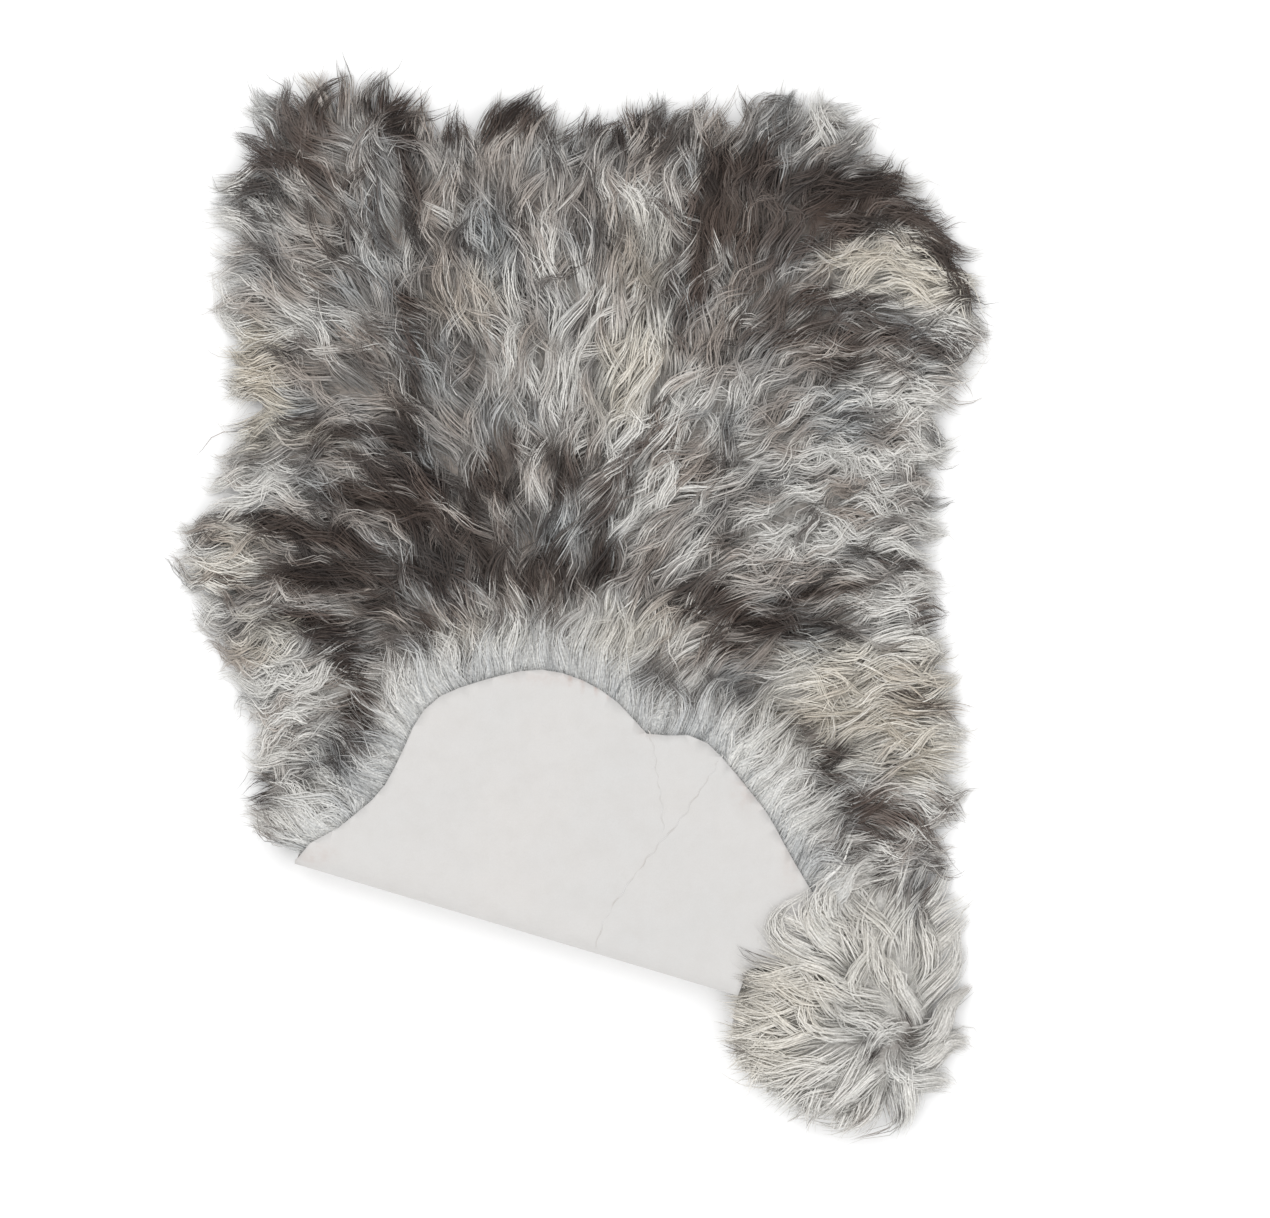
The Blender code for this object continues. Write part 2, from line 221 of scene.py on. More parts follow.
# How the wool lies, as px, py, its heading in degrees from the photograph's right, turning left, and its curl
FLOWS = (
    (255, 105, 120, 0.5), (300, 95, 100, 0.5), (350, 92, 85, 0.3), (400, 95, 65, 0.2),
    (440, 150, 95, 0.2), (490, 120, 68, 0.2), (545, 115, 65, 0.2), (600, 130, 62, 0.2),
    (660, 120, 72, 0.3), (720, 130, 65, 0.3), (790, 110, 50, 0.4), (850, 120, 30, 0.4),
    (880, 165, 15, 0.4), (930, 205, -5, 0.4), (975, 265, -25, 0.3), (235, 180, 150, 0.5),
    (238, 142, 168, 0.4), (225, 240, 165, 0.5), (225, 300, 172, 0.5), (230, 350, 178, 0.5),
    (235, 400, 184, 0.5), (230, 450, 192, 0.6), (210, 510, 195, 0.6), (185, 550, 190, 0.5),
    (200, 600, 188, 0.5), (230, 660, 190, 0.8), (250, 720, 185, 0.9), (260, 780, 182, 0.7),
    (285, 830, 190, 0.4), (330, 150, 125, 0.2), (400, 170, 112, 0.2), (330, 230, 135, 0.3),
    (380, 250, 120, 0.3), (450, 250, 106, 0.2), (330, 310, 148, 0.3), (300, 400, 165, 0.4),
    (300, 470, 178, 0.6), (300, 550, 182, 0.5), (300, 640, 188, 0.9), (310, 720, 190, 1.0),
    (350, 770, 170, 0.6), (330, 690, 195, 0.8), (400, 400, 135, 0.3), (390, 480, 152, 0.4),
    (430, 570, 135, 0.4), (375, 610, 165, 0.4), (385, 670, 155, 0.4), (480, 200, 96, 0.2),
    (560, 220, 92, 0.2), (640, 220, 95, 0.4), (700, 210, 100, 0.5), (500, 300, 100, 0.3),
    (600, 330, 72, 0.2), (560, 400, 85, 0.3), (500, 450, 100, 0.4), (480, 540, 105, 0.4),
    (560, 530, 85, 0.4), (640, 490, 68, 0.5), (640, 400, 62, 0.2), (600, 590, 80, 0.3),
    (530, 620, 98, 0.2), (470, 640, 112, 0.2), (430, 670, 132, 0.2), (400, 720, 155, 0.3),
    (650, 650, 72, 0.2), (700, 690, 58, 0.2), (750, 740, 40, 0.3), (790, 790, 28, 0.3),
    (825, 850, 15, 0.4), (700, 300, 88, 0.5), (750, 250, 85, 0.5), (760, 190, 80, 0.5),
    (790, 330, 40, 0.6), (840, 240, 12, 0.5), (900, 300, -8, 0.4), (950, 330, -8, 0.5),
    (860, 370, 2, 0.6), (930, 400, -12, 0.4), (720, 420, 50, 0.6), (780, 450, 30, 0.9),
    (860, 460, 8, 0.9), (920, 480, -8, 0.5), (700, 520, 50, 0.6), (770, 560, 18, 0.8),
    (850, 560, 2, 0.7), (920, 560, -6, 0.5), (710, 610, 22, 0.4), (790, 640, 8, 0.4),
    (880, 640, -4, 0.4), (940, 650, -8, 0.4), (790, 700, 12, 0.2), (860, 720, 2, 0.2),
    (940, 720, -4, 0.2), (850, 780, -4, 0.4), (930, 790, -12, 0.4), (880, 840, -18, 0.4),
    (940, 840, -22, 0.4), (900, 880, 60, 0.2), (860, 900, 112, 0.2), (835, 950, 138, 0.2),
    (790, 980, 158, 0.2), (760, 1040, 188, 0.2), (800, 1080, 208, 0.2), (850, 1060, 200, 0.4),
    (860, 1105, 232, 0.2), (900, 1100, 278, 0.3), (880, 1060, 195, 0.6), (945, 1045, 8, 0.3),
    (948, 1005, 48, 0.2), (948, 940, 80, 0.2), (925, 1015, 48, 0.3), (928, 1036, 18, 0.2),
    (930, 1056, -2, 0.3), (926, 1074, -24, 0.3), (918, 1092, -48, 0.3), (938, 1072, -16, 0.3),
    (908, 1066, -52, 0.3), (925, 960, 84, 0.2), (955, 890, 60, 0.3), (880, 1035, 170, 0.4),
    (895, 1055, 235, 0.5), (905, 960, 88, 0.2), (870, 1000, 140, 0.2), (900, 1020, 95, 0.5),
    (850, 860, 0, 0.4),
)
FLOW_SPREAD = 0.030
FLOW_SOFTNESS = 0.05
FLOW_FALL = 1.6

# Where the wool is dark, brown, cream or light, as soft patches: px, py, half their length and width
# in pixels, the tilt of their length in degrees, and their strength
DARK = (
    (410, 640, 40, 26, 0, 0.35), (590, 570, 36, 20, 0, 0.3), (300, 118, 52, 34, 0, 0.35),
    (378, 98, 22, 13, 60, 0.8), (403, 108, 28, 12, 70, 1.0), (285, 165, 50, 13, 170, 0.6),
    (258, 192, 20, 9, 0, 0.6), (335, 188, 16, 12, 0, 0.4), (412, 160, 60, 9, 90, 0.5),
    (413, 350, 60, 10, 90, 0.6), (345, 235, 30, 10, 90, 0.3), (390, 215, 36, 30, 0, 0.22),
    (498, 116, 56, 18, 4, 1.0), (462, 118, 20, 14, 60, 0.9), (545, 112, 14, 12, 60, 0.8),
    (515, 108, 46, 12, 4, 1.0), (500, 138, 40, 10, 4, 0.4), (455, 125, 18, 15, 60, 0.4),
    (610, 120, 42, 15, 4, 1.0), (645, 116, 24, 10, 0, 0.7), (560, 150, 20, 12, 90, 0.2),
    (670, 150, 26, 20, 0, 0.4), (790, 140, 40, 14, 10, 0.35), (738, 172, 44, 32, 175, 1.0),
    (706, 220, 48, 20, 90, 0.85), (700, 290, 16, 12, 90, 0.75), (760, 240, 44, 36, 0, 0.45),
    (800, 185, 30, 14, 170, 0.6), (862, 190, 56, 22, 168, 1.0), (932, 235, 70, 22, 128, 1.0),
    (900, 205, 36, 16, 140, 1.0), (838, 218, 46, 24, 160, 0.9), (620, 500, 20, 10, 40, 0.3),
    (825, 300, 40, 16, 175, 0.4), (830, 335, 36, 12, 165, 0.4), (905, 342, 72, 7, 174, 0.3),
    (870, 372, 52, 7, 170, 0.35), (955, 352, 26, 6, 12, 0.3), (760, 320, 30, 30, 0, 0.2),
    (345, 435, 72, 10, 172, 0.6), (330, 455, 50, 8, 168, 0.45), (405, 430, 26, 20, 90, 0.5),
    (408, 490, 40, 32, 160, 1.0), (372, 505, 52, 13, 170, 0.7), (345, 540, 44, 15, 172, 0.85),
    (320, 575, 44, 16, 172, 0.8), (345, 598, 50, 9, 175, 0.6), (276, 526, 34, 10, 170, 0.7),
    (300, 538, 40, 11, 172, 0.8), (430, 530, 24, 20, 0, 0.5), (395, 575, 44, 20, 170, 0.65),
    (450, 575, 36, 18, 160, 0.6), (500, 470, 34, 14, 70, 0.55), (480, 505, 30, 16, 80, 0.5),
    (560, 485, 30, 15, 55, 0.75), (590, 470, 14, 12, 0, 0.5), (520, 530, 24, 20, 0, 0.4),
    (500, 568, 34, 17, 90, 0.65), (545, 572, 32, 17, 50, 0.65), (595, 560, 24, 14, 60, 0.65),
    (565, 595, 22, 7, 20, 0.3), (470, 545, 26, 24, 0, 0.5), (640, 450, 26, 9, 60, 0.25),
    (620, 430, 20, 8, 60, 0.3), (600, 520, 24, 9, 55, 0.3), (322, 628, 38, 14, 165, 0.95),
    (348, 655, 32, 16, 120, 1.0), (362, 700, 40, 16, 98, 1.0), (355, 748, 28, 16, 85, 1.0),
    (345, 765, 16, 8, 0, 0.4), (712, 608, 32, 16, 160, 0.7), (742, 620, 44, 14, 172, 0.8),
    (795, 600, 36, 11, 10, 0.75), (810, 628, 40, 9, 170, 0.6), (725, 648, 36, 7, 165, 0.6),
    (690, 590, 24, 9, 50, 0.4), (660, 575, 20, 14, 0, 0.25), (885, 555, 32, 8, 172, 0.5),
    (850, 585, 30, 7, 8, 0.35), (960, 590, 26, 7, 0, 0.4), (785, 560, 26, 8, 20, 0.3),
    (730, 540, 26, 8, 30, 0.3), (800, 725, 28, 9, 150, 0.5), (822, 750, 30, 11, 130, 0.65),
    (835, 785, 26, 9, 120, 0.55), (868, 808, 34, 10, 165, 0.6), (888, 815, 26, 8, 5, 0.45),
    (880, 838, 24, 6, 5, 0.35), (905, 698, 34, 6, 170, 0.5), (935, 720, 30, 5, 165, 0.35),
    # The dark spot at 906, 1038 is painted shade in the pit at the leg's middle.
    (884, 885, 24, 6, 90, 0.7), (906, 1038, 9, 20, 0, 0.9), (880, 1056, 9, 9, 0, 0.5),
    (899, 1062, 7, 10, 0, 0.5), (812, 935, 24, 7, 150, 0.4), (850, 1040, 24, 5, 175, 0.45),
    (930, 905, 22, 12, 90, 0.2), (262, 255, 22, 12, 160, 0.4), (250, 575, 34, 8, 175, 0.5),
    (300, 350, 30, 8, 160, 0.3), (250, 610, 30, 6, 175, 0.3), (265, 800, 22, 14, 90, 0.35),
)
DARK_BESIDE_FLAP = ((352, 702, 84, 24, 98, 0.9),)
BROWN = (
    (680, 300, 26, 60, 0, 0.5), (650, 215, 44, 22, 0, 0.5), (900, 810, 60, 30, 0, 0.6),
    (600, 595, 50, 12, 10, 0.4), (905, 700, 50, 16, 0, 0.5), (640, 465, 70, 34, 40, 0.5),
    (850, 330, 90, 40, 0, 0.4), (790, 895, 50, 22, 150, 0.45), (250, 590, 50, 26, 0, 0.4),
    (320, 150, 70, 40, 0, 0.4), (380, 340, 40, 60, 0, 0.35), (950, 900, 26, 40, 0, 0.5),
    (780, 250, 60, 60, 0, 0.4), (930, 620, 50, 30, 0, 0.4), (470, 620, 50, 18, 0, 0.35),
)
CREAM = (
    (258, 385, 26, 60, 0, 0.95), (235, 560, 34, 34, 0, 0.5), (630, 375, 30, 54, 155, 0.7),
    (895, 275, 74, 26, 172, 0.85), (865, 700, 95, 60, 0, 0.75), (930, 760, 34, 30, 0, 0.7),
    (470, 300, 40, 30, 0, 0.35), (620, 640, 60, 24, 20, 0.5), (500, 640, 60, 16, 0, 0.4),
    (770, 1020, 50, 60, 0, 0.55), (270, 640, 30, 24, 0, 0.6), (850, 950, 90, 60, 0, 0.3),
    (930, 260, 50, 22, 140, 0.6), (300, 440, 60, 12, 0, 0.4), (640, 260, 30, 50, 0, 0.35),
)
LIGHT = (
    (255, 122, 40, 26, 0, 0.4), (226, 152, 22, 22, 0, 0.4), (262, 490, 30, 24, 0, 0.8),
    (285, 700, 56, 60, 0, 0.65), (640, 200, 22, 30, 0, 0.5), (868, 462, 60, 22, 0, 0.8),
    (790, 540, 50, 20, 0, 0.6), (780, 470, 46, 34, 0, 0.35), (560, 320, 70, 80, 0, 0.35),
    (820, 680, 50, 30, 0, 0.75), (560, 650, 150, 26, 5, 0.7), (420, 690, 30, 60, 150, 0.8),
    (768, 768, 100, 34, 130, 1.0), (340, 800, 60, 34, 0, 0.6), (850, 980, 110, 100, 0, 0.75),
    (840, 120, 40, 26, 0, 0.5), (880, 600, 40, 20, 0, 0.5), (660, 430, 40, 26, 0, 0.4),
    (330, 320, 50, 24, 0, 0.35), (640, 350, 16, 40, 150, 0.6), (850, 870, 44, 26, 0, 0.8),
    (850, 820, 50, 30, 0, 0.4), (210, 560, 30, 24, 0, 0.4), (910, 240, 50, 14, 170, 0.4),
    (580, 390, 56, 40, 0, 0.35), (680, 395, 60, 36, 0, 0.4), (760, 400, 46, 36, 0, 0.3),
    (940, 440, 30, 60, 0, 0.55), (940, 540, 26, 60, 0, 0.45), (660, 500, 40, 30, 0, 0.35),
    (850, 980, 90, 110, 0, 0.85), (940, 990, 40, 90, 0, 0.6), (790, 1045, 80, 80, 0, 0.9),
    (860, 500, 50, 26, 0, 0.4), (850, 290, 46, 24, 0, 0.35), (940, 680, 30, 60, 0, 0.4),
    (870, 740, 70, 50, 0, 0.35), (900, 1090, 50, 40, 0, 0.6), (308, 822, 50, 36, 30, 0.9),
    (225, 570, 40, 30, 0, 0.5), (905, 760, 40, 40, 0, 0.3), (930, 800, 30, 30, 0, 0.5),
    (770, 770, 50, 26, 135, 0.5), (890, 640, 50, 26, 0, 0.6), (945, 300, 26, 40, 0, 0.5),
    (680, 560, 40, 26, 0, 0.4), (900, 400, 50, 26, 0, 0.4), (612, 475, 36, 28, 0, 0.6),
    (600, 620, 60, 20, 0, 0.5), (850, 545, 60, 26, 0, 0.35), (640, 500, 44, 14, 60, 0.7),
    (655, 215, 44, 22, 0, 0.55), (600, 440, 30, 20, 60, 0.3), (915, 285, 70, 32, 165, 0.85),
    (860, 405, 60, 24, 0, 0.45), (935, 400, 30, 40, 0, 0.5), (940, 825, 24, 40, 0, 0.5),
    (520, 380, 60, 40, 0, 0.25), (300, 330, 60, 40, 0, 0.25), (700, 470, 40, 24, 30, 0.15),
    (760, 520, 40, 20, 20, 0.3), (250, 420, 40, 14, 0, 0.5),
)

# The outline to which the wool reaches, as it is seen in the photograph
WOOL_EDGE = (
    (250, 98), (285, 82), (320, 72), (350, 78), (375, 76), (410, 84), (425, 118), (440, 136), (455, 112),
    (480, 100), (515, 103), (550, 98), (562, 130), (575, 132), (600, 112), (630, 108), (660, 103),
    (700, 112), (725, 108), (750, 98), (790, 94), (830, 96), (862, 118), (880, 148), (905, 168),
    (930, 192), (960, 230), (986, 268), (970, 290), (988, 330), (966, 370), (945, 410), (940, 480),
    (936, 530), (932, 600), (941, 640), (958, 690), (957, 740), (968, 790), (946, 840), (938, 860),
    (958, 882), (968, 950), (982, 965), (968, 1040), (948, 1084), (912, 1112), (860, 1131), (800, 1106),
    (770, 1091), (745, 1066), (732, 1040), (737, 1002), (748, 978), (520, 900), (318, 846), (275, 857),
    (262, 835), (250, 812), (262, 780), (245, 700), (215, 645), (192, 600), (180, 570), (168, 540),
    (205, 508), (215, 470), (240, 440), (230, 400), (227, 350), (223, 300), (213, 240), (222, 190),
    (236, 130),
)

# The leg's wool that falls over the turned-up skin: where it grows, and how far it may reach
OVER_SKIN_MIDDLE = (872, 958)
OVER_SKIN_REACH = 74
OVER_SKIN_EDGE = (
    (832, 905), (800, 890), (765, 915), (745, 945), (738, 970), (738, 1000), (760, 1120), (990, 1120),
    (990, 840), (850, 850),
)
LEG_MIDDLE = (905, 1040)
LEG_PARTING = (919, 1056)
LEG_PARTING_REACH = 0.034

# How the wool's length changes with the pixels from the leg's middle: a factor, its end and how it fades
LEG_LENGTHS = ((0.62, 5, 35), (1.2, 100, 80))

# Creases in the turned-up skin, and small marks on it
CREASES = (
    ((648, 728), (654, 750), (657, 775), (661, 800), (663, 830)),
    (
        (722, 752), (710, 772), (695, 795), (678, 820), (660, 840),
        (642, 862), (625, 885), (605, 915), (595, 945),
    ),
)
CREASE_RADIUS = 0.0010
CREASE_SUNK = 0.00062
CREASE_STEPS = 8
PINK_MARKS = (
    (571, 676, 3, 9, 0, 0.8), (583, 680, 3, 11, 0, 0.7), (597, 684, 3, 10, 0, 0.8),
    (609, 692, 3, 8, 0, 0.6), (748, 785, 20, 26, 0, 0.3), (318, 852, 22, 12, 0, 0.3),
    (560, 676, 60, 9, 0, 0.25), (792, 850, 14, 40, 0, 0.25), (650, 725, 16, 10, 0, 0.3),
)

# Colours of the wool, as the share of the light that it sends back
ROOT_GREY = np.array((0.50, 0.49, 0.475))
DEEP_GREY = np.array((0.170, 0.155, 0.145))
WARM_GREY = np.array((0.415, 0.362, 0.322))
COOL_GREY = np.array((0.390, 0.405, 0.410))
PALE_GREY = np.array((0.740, 0.730, 0.700))
# The white of white hairs, also used as painted highlights on the wool.
WHITE_HAIR_AND_HIGHLIGHT = np.array((0.86, 0.84, 0.80))
CREAM_WOOL = np.array((0.69, 0.62, 0.50))
FRINGE_GREY = np.array((0.450, 0.462, 0.468))
BROWN_WOOL = np.array((0.136, 0.090, 0.070))
BLACK_WOOL = np.array((0.023, 0.017, 0.015))

# How the wool's colours are chosen: the share of dark tips, and where along a strand each colour starts
DARK_EVERYWHERE = 0.31
DARK_IF_BROWN = 0.45
DARK_IF_DARK = 1.15
DARK_AT_MOST = 0.98
DARK_BAND = 0.26
DARK_START = 0.66
DARK_LENGTH = 0.72
DARK_START_VARIES = 0.30
DARK_STARTS = (-0.2, 0.80)
LOCK_WEIGHT = 0.8
PALE_BAND = 0.35
WHITE_SHARE = 0.05
WHITE_SHARE_IF_LIGHT = 0.22
WHITE_START = (0.1, 0.3)
ROOT_SHOWS = (0.05, 0.4)
ROOT_SEEN_THROUGH = 0.35
FRINGE_OWN_START = 0.22
FRINGE_OWN_VARIES = 0.30
FRINGE_OWN_FADE = 0.5
FRINGE_PALER = 1.6
FRINGE_PALER_FROM = 0.7
# Painted shade: strands that lie deep in a lock or at its sides are darkened in their colour, for the shadow
# among the strands. In light wool the factor is pushed up to a little over 1, as painted light for the light
# that pale wool scatters. SHADE_VARIES is each strand's own random tone.
DEEP_SHADE = 0.82
TOP_SHADE = 1.07
LIGHT_SHADE = 1.06
SIDE_SHADE = 0.20
SHADE_VARIES = (0.94, 1.06)
COLOUR_LIMITS = (0.006, 0.95)

# Colours of the skin and the floor
SKIN_WARM = (0.622, 0.606, 0.592, 1)
SKIN_COOL = (0.598, 0.592, 0.584, 1)
SKIN_DULL = (0.525, 0.505, 0.483, 1)
SKIN_PINK = (0.500, 0.395, 0.355, 1)
FLOOR_PALE = (0.930, 0.930, 0.930, 1)
FLOOR_PALER = (0.950, 0.950, 0.950, 1)

# The light of the room, and the lamps as name, place, size and power
WORLD_LIGHT = 0.88
LIGHTS = (
    ("key", (-1.4, 1.7, 2.5), 2.0, 34),
    ("fill", (0.6, -2.2, 2.2), 2.2, 24),
)

FLOOR_HALF = 6.0
FLOOR_GAP = 0.0004

chance = np.random.default_rng(SEED)


def smoothstep(share):
    """0 below 0, 1 above 1 and an even rise between."""
    share = np.clip(share, 0.0, 1.0)
    return share * share * (3 - 2 * share)


def rise(value, start, reach):
    """A soft rise from 0 to 1 that begins where the value passes start and takes the given reach."""
    return smoothstep((value - start) / reach)


def mix(start, end, share):
    return start + (end - start) * share


ALONG = np.array((math.cos(FOLD_ANGLE), math.sin(FOLD_ANGLE)))
ACROSS = np.array((-ALONG[1], ALONG[0]))
FOLD_LEFT = np.array(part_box("hide")[0][:2]) + FOLD_FROM_CORNER


# Places in plan, and maps of what is there


def on_rug(px, py):
    """The place in plan of a pixel of the photograph."""
    return FOLD_LEFT + METRES_PER_PIXEL * np.array((px - FOLD_PIXEL[0], FOLD_PIXEL[1] - py))


def map_places():
    """The places of a map's points, as an array of columns and rows."""
    counts = np.round(2 * MAP_HALF / MAP_STEP).astype(int) + 1
    columns = -MAP_HALF[0] + MAP_STEP * np.arange(counts[0])
    rows = -MAP_HALF[1] + MAP_STEP * np.arange(counts[1])
    return np.stack(np.meshgrid(columns, rows, indexing="ij"), axis=-1)


PLACES = map_places()


def read(chart, places):
    """What a map says at places in plan, read between its points."""
    steps = np.clip((places + MAP_HALF) / MAP_STEP, 0, np.array(chart.shape[:2]) - 1.001)
    cell = steps.astype(int)
    share = steps - cell
    i, j, u, v = cell[..., 0], cell[..., 1], share[..., 0], share[..., 1]
    if chart.ndim == 3:
        u, v = u[..., None], v[..., None]
    low = mix(chart[i, j], chart[i + 1, j], u)
    high = mix(chart[i, j + 1], chart[i + 1, j + 1], u)
    return mix(low, high, v)


def blurred(chart, reach):
    """A map with each point evened out over the square around it, three times."""
    for _ in range(3):
        for axis in (0, 1):
            shifted = [np.roll(chart, step, axis) for step in range(-reach, reach + 1)]
            chart = sum(shifted) / len(shifted)
    return chart


def noise_map(size, layer):
    """Smooth noise from about -1 to 1, whose lumps have the given size."""
    flat = PLACES.reshape(-1, 2) / size
    values = [noise.noise(Vector((x, y, 7.3 * layer))) for x, y in flat]
    return np.array(values).reshape(PLACES.shape[:2]) * 1.6


def heights_on(node, from_below=False):
    """A map of the height at which a line from above, or from below, meets a solid."""
    tree = BVHTree.FromObject(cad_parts[node], bpy.context.evaluated_depsgraph_get())
    start, way = (-1.0, Vector((0, 0, 1))) if from_below else (1.0, Vector((0, 0, -1)))
    found = np.full(PLACES.shape[:2], np.nan)
    for i, column in enumerate(PLACES):
        for j, (x, y) in enumerate(column):
            hit = tree.ray_cast(Vector((x, y, start)), way)[0]
            if hit:
                found[i, j] = hit.z
    return found


def distance_inside(mask):
    """A map of how far each point lies inside the edge of a region, less than 0 outside it."""
    edge = []
    for axis, shift in ((0, np.array((MAP_STEP / 2, 0))), (1, np.array((0, MAP_STEP / 2)))):
        changes = mask != np.roll(mask, -1, axis)
        edge.append(PLACES[changes] + shift)
    edge = np.concatenate(edge)
    tree = kdtree.KDTree(len(edge))
    for i, (x, y) in enumerate(edge):
        tree.insert((x, y, 0), i)
    tree.balance()
    away = np.array([tree.find((x, y, 0))[2] for x, y in PLACES.reshape(-1, 2)])
    return np.where(mask, 1, -1) * away.reshape(mask.shape)


def region_inside(pixels):
    """Which points of a map lie inside an outline that is given in pixels."""
    corners = np.array([on_rug(px, py) for px, py in pixels])
    x, y = PLACES[..., 0], PLACES[..., 1]
    inside = np.zeros(x.shape, bool)
    for (ax, ay), (bx, by) in zip(corners, np.roll(corners, -1, axis=0)):
        if ay == by:
            continue
        crosses = (ay > y) != (by > y)
        inside ^= crosses & (x < ax + (bx - ax) * (y - ay) / (by - ay))
    return inside


def patches_map(patches, ragged):
    """A map from 0 to 1 of soft patches, whose edges are moved about by noise."""
    places = PLACES + ragged
    clear = np.ones(PLACES.shape[:2])
    for px, py, long, wide, tilt, strength in patches:
        away = places - on_rug(px, py)
        tilt = math.radians(tilt)
        along = (away[..., 0] * math.cos(tilt) + away[..., 1] * math.sin(tilt)) / long
        across = (away[..., 1] * math.cos(tilt) - away[..., 0] * math.sin(tilt)) / wide
        reach = np.hypot(along, across) / METRES_PER_PIXEL
        clear *= 1 - strength * (1 - rise(reach, *PATCH_RIM))
    return 1 - clear


def flow_maps():
    """Maps of the way the wool lies, as a unit vector, and of how curly it is."""
    way, curl, total = np.zeros(PLACES.shape), np.zeros(PLACES.shape[:2]), np.zeros(PLACES.shape[:2])
    for px, py, heading, curliness in FLOWS:
        away = PLACES - on_rug(px, py)
        weight = 1 / ((away**2).sum(axis=-1) / FLOW_SPREAD**2 + FLOW_SOFTNESS) ** FLOW_FALL
        heading = math.radians(heading)
        way += weight[..., None] * np.array((math.cos(heading), math.sin(heading)))
        curl += weight * curliness
        total += weight
    return way / np.linalg.norm(way, axis=-1, keepdims=True), curl / total


def flap_height(places):
    """The top of the turned-up skin over places in plan: round on the bend, and sagging a little past it."""
    across = (places - FOLD_LEFT) @ ACROSS - BEND_RADIUS
    along = (places - FOLD_LEFT) @ ALONG
    wave = np.sin(2 * math.pi * (along + across / 2) / FLAP_WAVE_LENGTH)
    top = BEND_RADIUS + np.sqrt(BEND_RADIUS**2 - np.clip(across, -BEND_RADIUS, 0) ** 2)
    return top - smoothstep(across / FLAP_SAG_REACH) * (FLAP_SAG - FLAP_WAVE * wave)


PELT = heights_on("hide", from_below=True) < ON_GROUND
FLAP = np.nan_to_num(heights_on("hide")) > OVER_WOOL
IN_PELT = distance_inside(PELT)
IN_FLAP = distance_inside(FLAP)
IN_WOOL = distance_inside(region_inside(WOOL_EDGE))
IN_OVER_SKIN = distance_inside(region_inside(OVER_SKIN_EDGE))
WAY, CURL = flow_maps()


def pile_map():
    """The top of the lying wool, carried on smoothly under the turned-up skin and past the rim."""
    open_wool = (PELT & (IN_FLAP < -MAP_STEP)).astype(float)
    wool_top = np.nan_to_num(heights_on("fleece"))
    share = blurred(open_wool, 2)
    known = blurred(wool_top * open_wool, 2) / np.maximum(share, SHARE_OF_WOOL)
    top = np.where(share > SHARE_OF_WOOL, known, PRESSED_PILE)
    outside = RIM_PILE * (1 - smoothstep(-IN_PELT / OUTSIDE_REACH)) + OUTSIDE_PILE
    return np.where(IN_PELT > 0, top, np.minimum(top, outside))


PILE_TOP = pile_map()
RAGGED = 0.010 * np.stack([noise_map(0.030, 1), noise_map(0.030, 2)], axis=-1)
RAGGED += 0.005 * np.stack([noise_map(0.010, 3), noise_map(0.010, 4)], axis=-1)
BESIDE_FLAP = 1 - rise(-IN_FLAP, *FLAP_SHELTER)
BESIDE_FLAP *= 1 - patches_map(DARK_BESIDE_FLAP, RAGGED)
FROM_LEG_MIDDLE = np.linalg.norm(PLACES - on_rug(*LEG_MIDDLE), axis=-1)
DARKNESS = patches_map(DARK, RAGGED) * (1 - 0.7 * BESIDE_FLAP)
# Painted shade: the wool is darkened around the pit at the leg's middle, where its wool parts.
DARKNESS = np.maximum(DARKNESS, 0.9 * (1 - rise(FROM_LEG_MIDDLE, *LEG_PIT)))
BROWNNESS = patches_map(BROWN, RAGGED)
CREAMINESS = patches_map(CREAM, RAGGED)
BY_EDGE = (1 - rise(IN_WOOL, *RIM_LIGHT)) * (1 - DARKNESS)
BY_EDGE *= 1 - 0.8 * rise(PLACES[..., 1], on_rug(0, RIM_LIGHT_ROW)[1], RIM_LIGHT_FADE)
LIGHTNESS = np.maximum.reduce([patches_map(LIGHT, RAGGED), 0.60 * BESIDE_FLAP, 0.60 * BY_EDGE])
BASE_TOP = BASE_SHARE * PILE_TOP * rise(IN_PELT, *BASE_RIM) + BASE_LEAST
BASE_TOP = np.maximum(BASE_TOP - BASE_IN_PIT * (1 - smoothstep(FROM_LEG_MIDDLE / LEG_PIT_BASE)), PIT_LEAST)
TONE = 0.6 * noise_map(0.045, 5) + 0.4 * noise_map(0.016, 6)
WARMTH = noise_map(0.055, 7)
PHASE_NOISE = noise_map(0.05, 8)
BIAS_NOISE = noise_map(0.028, 9)
LOCK_NOISE = noise_map(0.012, 10)


# Locks of wool


def spread_places(pitch, wanted):
    """Places a pitch apart, moved about a little, where wanted says so."""
    count = np.ceil(2 * MAP_HALF / pitch).astype(int)
    columns, rows = np.meshgrid(np.arange(count[0]), np.arange(count[1]), indexing="ij")
    places = np.stack([columns + rows % 2 / 2, rows], axis=-1).reshape(-1, 2) * pitch - MAP_HALF
    places += chance.uniform(-0.38, 0.38, places.shape) * pitch
    return places[wanted(places)]


def on_open_wool(places):
    return (read(IN_PELT, places) > 0.001) & (read(IN_FLAP, places) < -0.001)


def by_leg_rim(places):
    """Whether places are where the leg's wool parts to go up or down, and would show the skin between."""
    away = np.linalg.norm(places - on_rug(*LEG_PARTING), axis=-1)
    return on_open_wool(places) & (away < LEG_PARTING_REACH)


